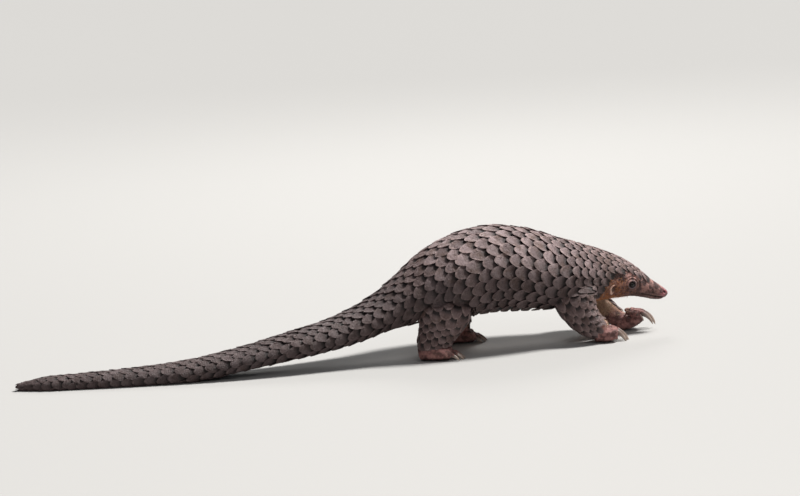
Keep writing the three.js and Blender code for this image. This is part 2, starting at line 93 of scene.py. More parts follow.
# Along each paw from heel to toes: x, y, z, half width, height above, depth below
PAWS = {
    "hindpaw_right": [
        (101, -48, 9, 11, 8, 11), (113, -48, 11, 17, 12, 13), (133, -49, 10, 20, 11, 12),
        (149, -50, 8, 19, 8, 10), (158, -51, 7, 15, 5, 8),
    ],
    "hindpaw_left": [
        (136, 60, 9, 11, 8, 11), (148, 60, 11, 17, 12, 13), (168, 61, 10, 20, 11, 12),
        (184, 62, 8, 19, 8, 10), (193, 63, 7, 15, 5, 8),
    ],
    "forepaw_right": [
        (349, 1, 10, 12, 10, 12), (359, 3, 12, 15, 11, 14), (371, 5, 12, 17, 11, 14),
        (383, 7, 12, 16, 9, 10), (390, 8, 12, 12, 6, 7),
    ],
    "forepaw_left": [
        (387, 79, 9, 11, 9, 10), (398, 79, 9, 15, 10, 11), (411, 80, 13, 17, 9, 9),
        (424, 80, 20, 16, 7.5, 7.5), (432, 81, 23, 12, 5.5, 5.5),
    ],
}
FORE_LENGTHS = (15, 25, 28, 24, 14)
FORE_WIDTHS = (6, 8, 8.6, 8, 5.6)
TOES = range(-2, 3)


def hind_claws(x, y, turn):
    """The five claws of a hind paw, their roots in an arc about x, y."""
    return [
        dict(root=(x - 1.6 * i * i, y + 7.4 * i, 8), heading=8 * i + turn, pitch=8, curl=45,
             length=17 - abs(i), width=6.4)
        for i in TOES
    ]


def fore_claws(x, y, z, pitch, curl):
    """The five claws of a forepaw, the middle one longest."""
    return [
        dict(root=(x - 2.2 * i * i, y + 6.8 * i, z), heading=6 * i + 4, pitch=pitch, curl=curl,
             length=FORE_LENGTHS[i + 2], width=FORE_WIDTHS[i + 2])
        for i in TOES
    ]


CLAWS = dict(
    hindpaw_right=hind_claws(154, -51, -4),
    hindpaw_left=hind_claws(189, 63, 4),
    forepaw_right=fore_claws(384, 8, 15, 18, 58),
    forepaw_left=fore_claws(427, 81, 24, 15, 62),
)
SIDES = (("right", -1), ("left", 1))
UP = np.array([0, 0, 1.0])


# Numbers
def mix(a, b, t):
    return a + (b - a) * t


def ease(start, end, value):
    t = np.clip((value - start) / (end - start), 0, 1)
    return t * t * (3 - 2 * t)


def bump(value, centre, width):
    return np.exp(-(((value - centre) / width) ** 2))


def unit(v):
    return v / np.maximum(np.linalg.norm(v, axis=-1, keepdims=True), 1e-9)


def between(value, a, b, c, d):
    """Rises from 0 to 1 between a and b, and falls again between c and d."""
    return ease(a, b, value) * (1 - ease(c, d, value))


def dot(a, b):
    return np.sum(a * b, axis=-1, keepdims=True)


def turns(count):
    """Angles all the way round, the last one short of the first."""
    return np.linspace(0, 2 * math.pi, count, endpoint=False)


class Track:
    """A smooth line through rows of numbers, the first three of them a point."""

    def __init__(self, rows):
        self.rows = np.array(rows, float)
        gaps = np.linalg.norm(np.diff(self.rows[:, :3], axis=0), axis=1)
        self.marks = np.concatenate([[0], np.cumsum(gaps)])
        steps = np.diff(self.rows, axis=0) / gaps[:, None]
        before, after = gaps[:-1, None], gaps[1:, None]
        inner = (steps[:-1] * after + steps[1:] * before) / (before + after)
        self.slopes = np.vstack([steps[:1], inner, steps[-1:]])

    @property
    def length(self):
        return self.marks[-1]

    def at(self, distance):
        """The numbers at each distance, and the direction of the line there."""
        s = np.clip(distance, 0, self.length)
        i = np.clip(np.searchsorted(self.marks, s, side="right") - 1, 0, len(self.marks) - 2)
        span = (self.marks[i + 1] - self.marks[i])[..., None]
        t = (s - self.marks[i])[..., None] / span
        a, b, ma, mb = self.rows[i], self.rows[i + 1], self.slopes[i], self.slopes[i + 1]
        values = (2 * t**3 - 3 * t**2 + 1) * a + (t**3 - 2 * t**2 + t) * span * ma
        values = values + (3 * t**2 - 2 * t**3) * b + (t**3 - t**2) * span * mb
        rate = (6 * t**2 - 6 * t) * a + (3 * t**2 - 4 * t + 1) * span * ma
        rate = rate + (6 * t - 6 * t**2) * b + (3 * t**2 - 2 * t) * span * mb
        return values, unit(rate[..., :3])


class Skin:
    """A skin round a track: a point for each distance and angle, where angle 0 faces the top direction.
    Past the track's end it runs straight on and closes like a dome. STEP is the spacing of its tables."""

    STEP = 3.0
    DOME = 12.5
    STEPS_TO_FOOT = 4

    def __init__(self, track, top, roundness):
        self.track, self.top, self.roundness = track, np.array(top, float), roundness
        self._angles = None

    def frame(self, s):
        values, along = self.track.at(s)
        up = unit(self.top - along * dot(along, self.top))
        return values, along, np.cross(along, up), up

    def point(self, s, angle, lift=0.0):
        s, angle, lift = np.broadcast_arrays(*(np.asarray(v, float) for v in (s, angle, lift)))
        values, along, across, up = self.frame(s)
        beyond = np.maximum(s - self.track.length, 0)
        share = np.sqrt(np.maximum(1 - (beyond / self.DOME) ** 2, 0.02))
        power = 2 / self.roundness(s, angle)
        side, height = np.sin(angle), np.cos(angle)
        a = (values[..., 3] + lift) * share * np.sign(side) * np.abs(side) ** power
        deep = (np.where(height > 0, values[..., 4], values[..., 5]) + lift) * share
        b = deep * np.sign(height) * np.abs(height) ** power
        return values[..., :3] + along * beyond[..., None] + across * a[..., None] + up * b[..., None]

    def _tables(self):
        """Finds once, for each distance, the angle that a walk of each length round the section reaches."""
        if self._angles is not None:
            return
        self._s = np.arange(0, self.track.length + self.STEP, self.STEP)
        angles = np.linspace(0, math.pi, 121)
        ring = self.point(self._s[:, None], angles[None, :])
        walked = np.cumsum(np.linalg.norm(np.diff(ring, axis=1), axis=2), axis=1)
        walked = np.hstack([np.zeros((len(self._s), 1)), walked])
        reach = np.arange(0, walked.max() + 2)
        self._angles = np.array([np.interp(reach, row, angles) for row in walked])
        self._walked, self._grid = walked, angles

    def angle_at(self, s, arc):
        """The angle that a walk of arc millimetres from the top reaches."""
        self._tables()
        row = np.clip(s / self.STEP, 0, len(self._s) - 1.001)
        column = np.clip(np.abs(arc), 0, self._angles.shape[1] - 1.001)
        i, j = row.astype(int), column.astype(int)
        f, g = row - i, column - j
        near = mix(self._angles[i, j], self._angles[i, j + 1], g)
        far = mix(self._angles[i + 1, j], self._angles[i + 1, j + 1], g)
        return np.sign(arc) * mix(near, far, f)

    def arc_at(self, s, angle):
        """The walk round the section from the top to an angle, for one distance."""
        self._tables()
        row = min(max(s / self.STEP, 0), len(self._s) - 1.001)
        i = int(row)
        near = np.interp(abs(angle), self._grid, self._walked[i])
        far = np.interp(abs(angle), self._grid, self._walked[i + 1])
        return mix(near, far, row - i)

    def locate(self, points):
        """Distance, angle, and how far out of the skin each point lies. Points far off just count as far."""
        centres, reach = self.track.rows[:, :3], self.track.rows[:, 3:].max(axis=1, keepdims=True)
        low, high = (centres - reach).min(axis=0) - FAR, (centres + reach).max(axis=0) + FAR
        near = np.all((points > low) & (points < high), axis=1)
        s, angle, out = np.zeros(len(points)), np.zeros(len(points)), np.full(len(points), FAR)
        s[near], angle[near], out[near] = self._locate(points[near])
        return s, angle, out

    def _locate(self, points):
        rows = self.track.rows
        axis = np.ptp(rows[:, :3], axis=0).argmax()
        order = np.argsort(rows[:, axis])
        s = np.interp(points[:, axis], rows[order, axis], self.track.marks[order])
        for _ in range(self.STEPS_TO_FOOT):
            values, along = self.track.at(s)
            s = np.clip(s + 0.8 * dot(points - values[:, :3], along)[:, 0], 0, self.track.length)
        values, _, across, up = self.frame(s)
        offset = points - values[:, :3]
        a, b = dot(offset, across)[:, 0], dot(offset, up)[:, 0]
        deep = np.where(b > 0, values[:, 4], values[:, 5])
        angle = np.arctan2(a / values[:, 3], b / deep)
        skin = self.point(s, angle)
        out = np.linalg.norm(offset, axis=1) - np.linalg.norm(skin - values[:, :3], axis=1)
        return s, angle, out


FAR = 30.0
spine = Track(list(BODY.values()))
place = dict(zip(BODY, spine.marks))
place["nape"] = place["ears"] + 10
place["shoulder"] = place["neck"] + 10


def body_roundness(s, angle):
    tail = ease(place["rump"], place["tailSecond"], s)
    return np.where(np.cos(angle) > 0, 2.1, mix(2.2, 2.9, tail))


body = Skin(spine, UP, body_roundness)
limbs = {
    name: Skin(Track(rows), (0, side, 0), lambda s, angle: 2.2 + 0 * s)
    for name, (side, rows) in LIMBS.items()
}
paws = {name: Skin(Track(rows), UP, lambda s, angle: 2.4 + 0 * s) for name, rows in PAWS.items()}


# Meshes
def add_object(name, data):
    obj = bpy.data.objects.new(name, data)
    bpy.context.scene.collection.objects.link(obj)
    return obj


def new_object(name, vertices, faces):
    mesh = bpy.data.meshes.new(name)
    fill_mesh(mesh, vertices, faces)
    mesh.validate()
    mesh.shade_smooth()
    return add_object(name, mesh)


def fill_mesh(mesh, vertices, faces):
    """Fills a mesh from points in millimetres and an array, or a list of arrays, of faces."""
    groups = faces if isinstance(faces, list) else [faces]
    groups = [np.asarray(g, np.int32) for g in groups if len(g)]
    mesh.vertices.add(len(vertices))
    mesh.vertices.foreach_set("co", (np.asarray(vertices, float) * MM).ravel())
    corners = np.concatenate([g.ravel() for g in groups])
    sizes = np.concatenate([np.full(len(g), g.shape[1], np.int32) for g in groups])
    starts = np.concatenate([[0], np.cumsum(sizes)[:-1]]).astype(np.int32)
    mesh.loops.add(len(corners))
    mesh.loops.foreach_set("vertex_index", corners)
    mesh.polygons.add(len(sizes))
    mesh.polygons.foreach_set("loop_start", starts)
    mesh.polygons.foreach_set("loop_total", sizes)
    mesh.update(calc_edges=True)


def points_of(mesh):
    co = np.empty(len(mesh.vertices) * 3)
    mesh.vertices.foreach_get("co", co)
    return co.reshape(-1, 3) / MM


def set_points(mesh, points):
    mesh.vertices.foreach_set("co", (points * MM).ravel())
    mesh.update()


def store(mesh, name, values):
    values = np.asarray(values, np.float32).ravel()
    mesh.attributes.new(name, "FLOAT", "POINT").data.foreach_set("value", values)


def store_uv(mesh, name, per_vertex):
    """A UV map from one pair of numbers for each vertex."""
    corners = np.empty(len(mesh.loops), np.int32)
    mesh.loops.foreach_get("vertex_index", corners)
    layer = mesh.uv_layers.new(name=name)
    layer.data.foreach_set("uv", np.asarray(per_vertex, np.float32)[corners].ravel())


def grid_faces(rows, columns, closed=False, offset=0, flip=False):
    """Quads of a grid of points, its columns joined into a ring if closed."""
    i, j = np.meshgrid(np.arange(rows - 1), np.arange(columns if closed else columns - 1), indexing="ij")
    i, j = i.ravel() * columns, j.ravel()
    k = (j + 1) % columns
    quads = np.stack([i + j, i + k, i + columns + k, i + columns + j], axis=1)
    return (quads[:, ::-1] if flip else quads) + offset


def closed_loft(rings):
    """Points and faces of a closed loft through rings of points."""
    count, sides = rings.shape[:2]
    points = np.vstack([rings.reshape(-1, 3), rings[0].mean(axis=0), rings[-1].mean(axis=0)])
    quads = grid_faces(count, sides, closed=True)
    j = np.arange(sides)
    k = (j + 1) % sides
    tip = np.full(sides, count * sides)
    end = (count - 1) * sides
    caps = [np.stack([tip, k, j], axis=1), np.stack([tip + 1, end + j, end + k], axis=1)]
    return points, quads, np.vstack(caps)


class Pile:
    """Gathers closed pieces into one mesh."""

    def __init__(self):
        self.points, self.quads, self.triangles, self.count = [], [], [], 0

    def add(self, points, quads, triangles):
        self.points.append(points)
        self.quads.append(quads + self.count)
        self.triangles.append(triangles + self.count)
        self.count += len(points)

    def build(self, name):
        return new_object(name, np.vstack(self.points), [np.vstack(self.quads), np.vstack(self.triangles)])


def skin_loft(skin, steps, sides, share=1.0, extra=0.0):
    """A loft of a skin over a share of its length and some millimetres more."""
    s = np.linspace(0, skin.track.length * share + extra, steps)
    return closed_loft(skin.point(s[:, None], turns(sides)[None, :]))


def lofted(name, rings):
    """An object that is one closed loft."""
    pile = Pile()
    pile.add(*closed_loft(rings))
    return pile.build(name)


# The flesh: every loft in one mesh, melted together
def claw_frame(claw):
    heading = math.radians(claw["heading"])
    forward = np.array([math.cos(heading), math.sin(heading), 0])
    return forward, np.array([-forward[1], forward[0], 0])


def toe_rings(claw, reach):
    """A toe from the paw to the root of its claw."""
    forward, across = claw_frame(claw)
    root, width = np.array(claw["root"], float), claw["width"]
    t = np.linspace(0, 1, 14)[:, None, None]
    angles = turns(20)[None, :, None]
    radius = width * (0.5 + 0.06 * np.sin(t * 7)) * np.clip(1.02 - ((t - 0.45) / 0.56) ** 4, 0.02, 1) ** 0.5
    fall = reach * math.sin(math.radians(claw["pitch"])) * 0.6
    middle = root - forward * reach * (1 - t) + forward * 4.5 * t + UP * (1 - t) * fall
    return middle + across * np.cos(angles) * radius + UP * np.sin(angles) * radius * 1.15


PALM_SHARE = 0.8  # how much of a paw's length is palm, the rest being toes
HIND_TOE, FORE_TOE = 14, 18
BODY_GRID, LIMB_GRID, PAW_GRID = (264, 72), (40, 48), (36, 48)  # the rings and sides of each loft
PAW_TOP = 60  # no paw reaches higher than this


def build_flesh():
    pile = Pile()
    pile.add(*skin_loft(body, *BODY_GRID, extra=body.DOME - 1.5))
    for skin in limbs.values():
        pile.add(*skin_loft(skin, *LIMB_GRID))
    for name, skin in paws.items():
        pile.add(*skin_loft(skin, *PAW_GRID, PALM_SHARE))
        for claw in CLAWS[name]:
            pile.add(*closed_loft(toe_rings(claw, HIND_TOE if "hind" in name else FORE_TOE)))
    return pile.build("skin")


def applied(obj):
    """Swaps an object's mesh for the result of its modifiers."""
    made = bpy.data.meshes.new_from_object(obj.evaluated_get(bpy.context.evaluated_depsgraph_get()))
    old, obj.data = obj.data, made
    obj.modifiers.clear()
    bpy.data.meshes.remove(old)
    return made


SKIN_VOXEL = 1.35
HEAD_FROM = 352  # everything of the head that needs detail has a larger x
SPOT_DEPTH = 14  # how far from its centre a spot reaches into the head and out of it
EYE = dict(distance=place["eyes"] - 2.5, angle=97, radius=4.6, depth=1.9)
EAR = dict(distance=place["ears"] - 5.5, angle=116)
NOSTRIL = dict(distance=place["nose"] + 2.6, angle=72)
MOUTH = dict(start=place["nose"] + 1.5, end=place["nose"] + 36)


def spot_frame(spot, side):
    """A spot's place on one side of the head, and the directions back, round the head and out of it."""
    s, angle = spot["distance"], side * math.radians(spot["angle"])
    reach, turn = 2.0, 0.02
    back = unit(body.point(s + reach, angle) - body.point(s - reach, angle))
    across = unit(body.point(s, angle + turn) - body.point(s, angle - turn))
    return body.point(s, angle), back, across, unit(np.cross(across, back))


def about_spot(points, spot, side):
    """How far each point lies behind a spot, round the head from it, and out of the skin."""
    origin, *ways = spot_frame(spot, side)
    offset = points - origin
    return [offset @ way for way in ways]


def normals_of(mesh):
    values = np.empty(len(mesh.vertices) * 3)
    mesh.vertices.foreach_get("normal", values)
    return values.reshape(-1, 3)


def refine_head(mesh):
    """Halves the faces of the head, and again those of the bare face, down to some degrees from the top."""
    for limit, top in ((100.0, 0), (84.0, 38)):
        work = bmesh.new()
        work.from_mesh(mesh)
        points = points_of(mesh)
        front = points[:, 0] > HEAD_FROM
        s, angle, out = body.locate(points[front])
        chosen = np.zeros(len(points), bool)
        chosen[front] = (s < limit) & (np.abs(angle) > math.radians(top)) & (np.abs(out) < 5)
        work.verts.ensure_lookup_table()
        edges = [e for e in work.edges if chosen[e.verts[0].index] and chosen[e.verts[1].index]]
        bmesh.ops.subdivide_edges(work, edges=edges, cuts=1, use_grid_fill=True, smooth=0.0)
        work.to_mesh(mesh)
        work.free()


def ripples(p, length, seed):
    """Smooth uneven waves through space, from -1 to 1, of about one length."""
    draws = np.random.default_rng(seed)
    total = np.zeros(len(p))
    for _ in range(6):
        way = unit(draws.normal(size=3))
        rate = 2 * math.pi / (length * draws.uniform(0.7, 1.5))
        total += np.sin(p @ way * rate + draws.uniform(0, 6.3))
    return total / 2.4


def face_relief(points, s, angle):
    """How far the face rises or sinks, in millimetres: lids, mouth, nostrils, ear pits and wrinkles."""
    rise = np.zeros(len(points))
    size = np.abs(angle)
    bare = ease(math.radians(40), math.radians(58), size) * (1 - ease(place["ears"], place["neck"], s))
    warp = ripples(points, 16, 1)
    rings = np.sin(s * 1.9 + 2.1 * warp + 0.9 * np.sin(angle * 4))
    cross = ripples(points, 5.5, 2) + 0.5 * ripples(points, 2.8, 3)
    snout = ease(place["nose"] + 3, place["muzzle"] + 5, s)
    folds = (1 - np.abs(rings)) ** 1.6 - 0.4
    rise -= 0.7 * folds * bare * snout * (0.55 + 0.45 * warp)
    rise += 0.16 * cross * bare * snout
    values, _, _, up = body.frame(s)
    start, end = MOUTH["start"], MOUTH["end"]
    level = -values[:, 5] * mix(0.58, 0.62, ease(start, end, s))
    gap = dot(points - values[:, :3], up)[:, 0] - level
    lips = 0.7 * bump(gap, 2.2, 1.5) + 0.5 * bump(gap, -2.2, 1.4) - 2.0 * bump(gap, 0, 0.8)
    rise += between(s, start - 1, start + 2, end - 5, end + 1) * lips
    for _, side in SIDES:
        x, y, z = about_spot(points, EYE, side)
        y = y * side
        near = (np.abs(z) < SPOT_DEPTH) & (np.hypot(x, y) < 26)
        r = np.hypot(x / 1.16, y)
        eye = 1.5 * bump(r, 5.7, 0.95) - 6.0 * (1 - ease(4.0, 4.9, r)) - 0.7 * bump(r, 7.7, 0.8)
        eye += 0.4 * bump(r, 9.4, 1.0) * ease(-3, 4, -y) - 0.45 * bump(r, 11.2, 0.8)
        eye += 0.35 * bump(r, 12.8, 0.9) * ease(2, 7, -x) + 0.5 * bump(r, 6.2, 1.2) * ease(0, 3, -y)
        rise = np.where(near, rise * ease(5, 9, r) + eye, rise)
        x, y, z = about_spot(points, EAR, side)
        r = np.hypot(x + 1, y / 1.3)
        rise = np.where(np.abs(z) < SPOT_DEPTH, rise - 4.5 * bump(r, 0, 3.4) + 0.7 * bump(r, 8.5, 2.5), rise)
        x, y, z = about_spot(points, NOSTRIL, side)
        r = np.sqrt((x / 1.35) ** 2 + y**2 + (z * 0.5) ** 2)
        rise += 0.5 * bump(r, 2.5, 0.8) - 2.6 * bump(r, 0, 1.3)
    return rise


def build_skin():
    obj = build_flesh()
    melt = obj.modifiers.new("melt", "REMESH")
    melt.mode = "VOXEL"
    melt.voxel_size = SKIN_VOXEL * MM
    soften = obj.modifiers.new("soften", "SMOOTH")
    soften.factor, soften.iterations = 0.5, 6
    mesh = applied(obj)
    refine_head(mesh)
    points = points_of(mesh)
    s, angle, out = body.locate(points)
    head = (points[:, 0] > HEAD_FROM) & (s < place["neck"]) & (np.abs(out) < 4)
    part, flow, uv = nearest_part(points, s, angle, out)
    limb = part > 0
    palm = part > len(limbs)
    crease = (1 - np.abs(ripples(points, 7, 4))) ** 2
    rise = np.where(head, face_relief(points, s, angle), np.where(limb, -0.35, -0.15) * crease)
    rise = rise + np.where(palm, 0.3 * ripples(points, 3.2, 5) + toe_relief(points), 0)
    rise = rise - 2.4 * palm_share(points) * (1 - ease(0, 6.5, points[:, 2]))
    points = points + normals_of(mesh) * rise[:, None]
    points[:, 2] = np.maximum(points[:, 2], 0.15)
    set_points(mesh, points)
    mesh.shade_smooth()
    size, edge = np.abs(angle), scale_reach(s)
    # Where the scales lie over the skin; the skin material paints this part near-black as painted shade
    covered = (1 - ease(edge - 6, edge + 2, np.degrees(size))) * ease(place["snout"], place["snout"] + 6, s)
    outward = np.zeros(len(points))
    for number, skin in enumerate(limbs.values(), start=1):
        near_s, near_angle, _ = skin.locate(points)
        shell = 1 - ease(-0.2, -0.07, np.abs(near_angle) - leg_reach(near_s))
        shell = shell * (1 - ease(skin.track.marks[3] - 4, skin.track.marks[3] + 4, near_s))
        outward = np.where(part == number, shell, outward)
    covered = np.where(limb, outward, covered)
    lid, cup = (spot_share(points, *spot) * head for spot in ((EYE, 5.6, 7.6), (EAR, 4.5, 8.0)))
    # The underside of the head, which the skin material paints darker as painted shade
    low = ease(math.radians(98), math.radians(128), size) * (1 - ease(place["crown"], place["neck"], s))
    shares = dict(
        covered=covered,
        nose=np.where(head, 1 - ease(place["nose"] + 2, place["muzzle"] + 4, s), 0),
        face=np.where(limb, 0, 1 - ease(place["crown"] + 4, place["neck"] + 6, s)),
        paw=palm_share(points),
        rise=np.clip(rise * head, -1.5, 1.5),
        lid=lid,
        jaw_shade=low * head,
        cup=cup,
    )
    for name, values in shares.items():
        store(mesh, name, values)
    store_uv(mesh, "OFBake", uv)
    return obj, dict(points=points, s=s, angle=angle, part=part, flow=flow, uv=uv, covered=covered,
                     cup=np.maximum(cup, lid))


def toe_relief(points):
    """Grooves between the toes and folds over their knuckles."""
    rise = np.zeros(len(points))
    low = points[:, 2] < PAW_TOP
    for name, claws in CLAWS.items():
        reach = 15 if "hind" in name else 22
        near, folds = [], []
        for claw in claws:
            forward, across = claw_frame(claw)
            x, y = ((points[low] - np.array(claw["root"])) @ way for way in (forward, across))
            near.append(np.hypot(y, np.minimum(x + reach, 0)) + 30 * (x > 8))
            folds.append(x)
        near, folds = np.array(near), np.array(folds)
        first = near.argmin(axis=0)
        order = np.sort(near, axis=0)
        along = np.take_along_axis(folds, first[None], axis=0)[0]
        within = (1 - ease(5.5, 9, order[0])) * ease(-reach - 4, -reach + 6, along)
        top = ease(4, 9, points[low][:, 2] - (0 if "hind" in name or "right" in name else 4))
        groove = 2.0 * bump(order[1] - order[0], 0, 1.7) * within
        knuckle = 0.5 * (1 - np.abs(np.sin(along * 0.75 + first))) ** 2 * within * top
        rise[low] -= groove + knuckle
    return rise


def spot_share(points, spot, inner, outer):
    """How much each point lies within a spot on both sides of the head."""
    share = np.zeros(len(points))
    for _, side in SIDES:
        x, y, z = about_spot(points, spot, side)
        share = np.maximum(share, (1 - ease(inner, outer, np.hypot(x, y))) * (np.abs(z) < SPOT_DEPTH))
    return share


def palm_share(points):
    """How much each point belongs to a paw."""
    share = np.zeros(len(points))
    low = points[:, 2] < PAW_TOP
    for skin in paws.values():
        for row in skin.track.rows:
            near = np.linalg.norm(points[low] - row[:3], axis=1)
            share[low] = np.maximum(share[low], 1 - ease(19, 30, near))
    return share


def nearest_part(points, s, angle, out):
    """The skin that each point belongs to (0 the body, then limbs and paws), the way its hair lies, and a
    flat place for it: the body's skin in the upper half of a square, limbs and paws in cells below it."""
    uv = np.stack([s / spine.length * 0.98 + 0.01, 0.75 + 0.24 * angle / math.pi], axis=1)
    _, flow = body.track.at(s)
    part = np.zeros(len(points), int)
    best = np.abs(out) + 1.5
    for k, skin in enumerate([*limbs.values(), *paws.values()]):
        near_s, near_angle, near_out = skin.locate(points)
        inside = np.abs(near_out) < best
        best = np.where(inside, np.abs(near_out), best)
        part = np.where(inside, k + 1, part)
        flow = np.where(inside[:, None], skin.track.at(near_s)[1], flow)
        cell = np.array([(k % 4) / 4 + 0.01, 0.24 * (k // 4) + 0.01])
        flat = np.stack([near_s / skin.track.length * 0.22, (near_angle / math.pi + 1) * 0.11], axis=1)
        uv = np.where(inside[:, None], cell + flat, uv)
    return part, flow, uv


# Scales: where the rows and columns of a plate's points lie
ALONG = np.array([0, 0.14, 0.3, 0.46, 0.62, 0.76, 0.87, 0.95, 1.0])
ACROSS = np.sin(np.radians([-90, -73, -56, -40, -26, -13, 0, 13, 26, 40, 56, 73, 90]))


def scale_rows(start, end, rows, ring, lift):
    """The place and size of each scale of a region, ring by ring, set as bricks are."""
    found = []
    s, parity = start, 0
    while s < end:
        count, pitch = rows(s)
        for row in range(-count, count + 1):
            if (row + parity) % 2 == 0:
                found.append((s, row, pitch, ring(s), lift(s)))
        s += ring(s)
        parity = 1 - parity
    return np.array(found)


def draped(points, rise):
    """Lifts what would lie inside the top of a limb out to the limb's own skin."""
    flat, rise = points.reshape(-1, 3), np.broadcast_to(rise, points.shape[:-1]).ravel()
    for skin in limbs.values():
        s, angle, out = skin.locate(flat)
        marks = skin.track.marks
        share = between(s, 0, 8, marks[2], marks[3]) * (out < 20)
        want = rise + 0.6 - out
        push = share * np.logaddexp(0, want / 1.5) * 1.5
        centre = skin.track.at(s)[0][:, :3]
        flat = flat + unit(skin.point(s, angle) - centre) * push[:, None]
    return flat.reshape(points.shape)


def depth_in_limbs(points):
    """How deep each point lies inside a limb, below its rounded top."""
    depth = np.zeros(len(points))
    for skin in limbs.values():
        s, _, out = skin.locate(points)
        depth = np.maximum(depth, -out * ease(0, 6, s))
    return depth


def spoiled_by_limbs(found):
    """Which scales of the body end deep inside a limb, or would be torn by being lifted over one. It looks
    at five points of each: three down its middle and one near each side."""
    s, row, pitch, ring, _ = found.T
    along = s[:, None] + ring[:, None] * np.array([0.2, 1.5, 2.8, 1.5, 1.5])
    arc = (row * pitch)[:, None] + pitch[:, None] * np.array([0, 0, 0, -0.6, 0.6])
    points = body.point(along, body.angle_at(along, arc))
    moved = draped(points, 0.0) - points
    torn = np.linalg.norm(moved[:, :, None] - moved[:, None], axis=3).max(axis=(1, 2)) > TEAR
    return torn | (depth_in_limbs(points[:, 2]) > SUNK)


def scale_mesh(name, skin, rows, pitch_at, length=3.2, width=1.36, thick=1.35, drape=False):
    """All the scales of a region as closed plates that follow the skin and rise to their free edge."""
    count = len(rows)
    s0, row, pitch, ring, lift = [column[:, None, None] for column in rows.T]

    def uneven(spread):
        return spread * rng.uniform(-1, 1, (count, 1, 1))

    u = ALONG[None, :, None]
    v = ACROSS[None, None, :]
    size = ring * length * (1 + uneven(0.07))
    wide = pitch * width * 0.5 * (1 + uneven(0.05))
    twist = uneven(0.09)
    blunt = 0.6 + uneven(0.06)
    x = u * (1 - blunt * (1 - (1 - np.abs(v) ** 1.7) ** 0.6))
    y = v * (0.74 + 0.26 * np.sin(np.minimum(u / 0.55, 1) * math.pi / 2))
    edge_fall = ease(0.84, 1.0, np.maximum(np.abs(v) * ease(0.25, 0.5, u), u))
    rise = mix(-0.3, 1.06, u) * lift * (1 + uneven(0.14)) + 0.8 * (1 - v * v) * (lift / 3)
    rise = rise - edge_fall * thick * 0.4 + v * uneven(0.5) * u
    thickness = thick * (lift / 3) ** 0.6 * (1 - 0.35 * edge_fall) + 0 * u * v
    s = s0 + x * size + v * wide * twist
    arc = row * pitch_at(s) + y * wide + (x - 0.5) * size * twist
    angle = skin.angle_at(s, arc)
    stray = 0.12 * rng.normal(size=(count, len(ALONG), len(ACROSS))) * u
    top = skin.point(s, angle, rise + stray)
    low = skin.point(s, angle, rise - thickness)
    if drape:
        top, low = draped(top, rise), draped(low, rise - thickness)
    half = len(ALONG) * len(ACROSS)
    points = np.concatenate([top.reshape(count, half, 3), low.reshape(count, half, 3)], axis=1)
    points[..., 2] = np.maximum(points[..., 2], FLOOR_GAP)
    faces = np.vstack([
        grid_faces(len(ALONG), len(ACROSS)),
        grid_faces(len(ALONG), len(ACROSS), offset=half, flip=True),
        rim_faces(len(ALONG), len(ACROSS), half),
    ])
    all_faces = (faces[None] + (np.arange(count) * 2 * half)[:, None, None]).reshape(-1, 4)
    obj = new_object(name, points.reshape(-1, 3), all_faces)
    mesh = obj.data
    mesh.set_sharp_from_angle(angle=math.radians(55))

    def both_sides(values):
        values = np.broadcast_to(values, (count, len(ALONG), len(ACROSS)))
        return np.tile(values.reshape(count, half), 2)

    store(mesh, "tone", both_sides(rng.uniform(0, 1, (count, 1, 1))))
    # Darker towards the tail, low on the flanks and on the legs: partly the scales' own dirt, partly painted
    # shade of the low flank and tail
    if skin is body:
        grime_and_shade = ease(place["loin"], place["root"], s) + 0.85 * ease(0.7, 2.0, np.abs(angle))
    else:
        grime_and_shade = 0.4 + 0 * s
    store(mesh, "grime_and_shade", both_sides(np.minimum(grime_and_shade, 1.0)))
    store(mesh, "run", both_sides(u))
    store(mesh, "rim", both_sides(ease(0.5, 1.0, np.maximum(np.abs(v) ** 1.5 * ease(0.2, 0.6, u), u))))
    side = math.ceil(math.sqrt(count))
    number = np.arange(count)[:, None, None]
    cell = 1 / side
    bake_u = (number % side + 0.08 + 0.84 * (0.5 + 0.5 * v) + 0 * u) * cell
    bake_v = (number // side + 0.06 + 0.42 * u + 0 * v) * cell
    flat = [np.stack([bake_u, bake_v + shift], axis=3) for shift in (0, 0.46 * cell)]
    shift = rng.uniform(0, 50, (count, 1, 1, 2))
    grain = np.stack([y * wide * np.ones_like(s), x * size], axis=3) + shift
    for layer, (upper, lower) in dict(OFBake=flat, Grain=(grain, grain)).items():
        pairs = np.concatenate([part.reshape(count, half, 2) for part in (upper, lower)], axis=1)
        store_uv(mesh, layer, pairs.reshape(-1, 2))
    return obj


def rim_faces(rows, columns, half):
    """The wall between the top and the underside of a plate."""
    across = np.arange(columns - 1)
    down = np.arange(rows - 1) * columns
    last = (rows - 1) * columns + across
    right = down + columns - 1
    edges = ((across + 1, across), (last, last + 1), (down, down + columns), (right + columns, right))
    return np.vstack([np.stack([a, b, b + half, a + half], axis=1) for a, b in edges])


def along_spine(**values):
    """A function of distance that passes through a value at each of the named places."""
    marks, heights = [place[name] for name in values], list(values.values())
    return lambda s: np.interp(s, marks, heights)


# How far round from the top the scales reach in degrees, the room between rings, how far a free edge stands
# off the skin, and the width of a row on head and body
scale_reach = along_spine(
    snout=44, crown=60, nape=114, shoulder=146, chest=158, hump=140, hips=130, rump=150,
    tailFirst=172, tip=172,
)
scale_room = along_spine(
    brow=4.6, crown=5.3, withers=7.6, chest=9.2, hump=9.6, rump=9.0, tailFirst=8.8, tailFifth=8.2, tip=6.2,
)
scale_lift = along_spine(brow=1.5, chest=4.2, root=4.0, tip=2.2)
row_width = along_spine(
    brow=5.6, crown=7.2, ears=8.8, neck=10.8, withers=13.0, chest=15.4, hump=15.8, hips=14.8,
    rump=13.4, root=12.7,
)
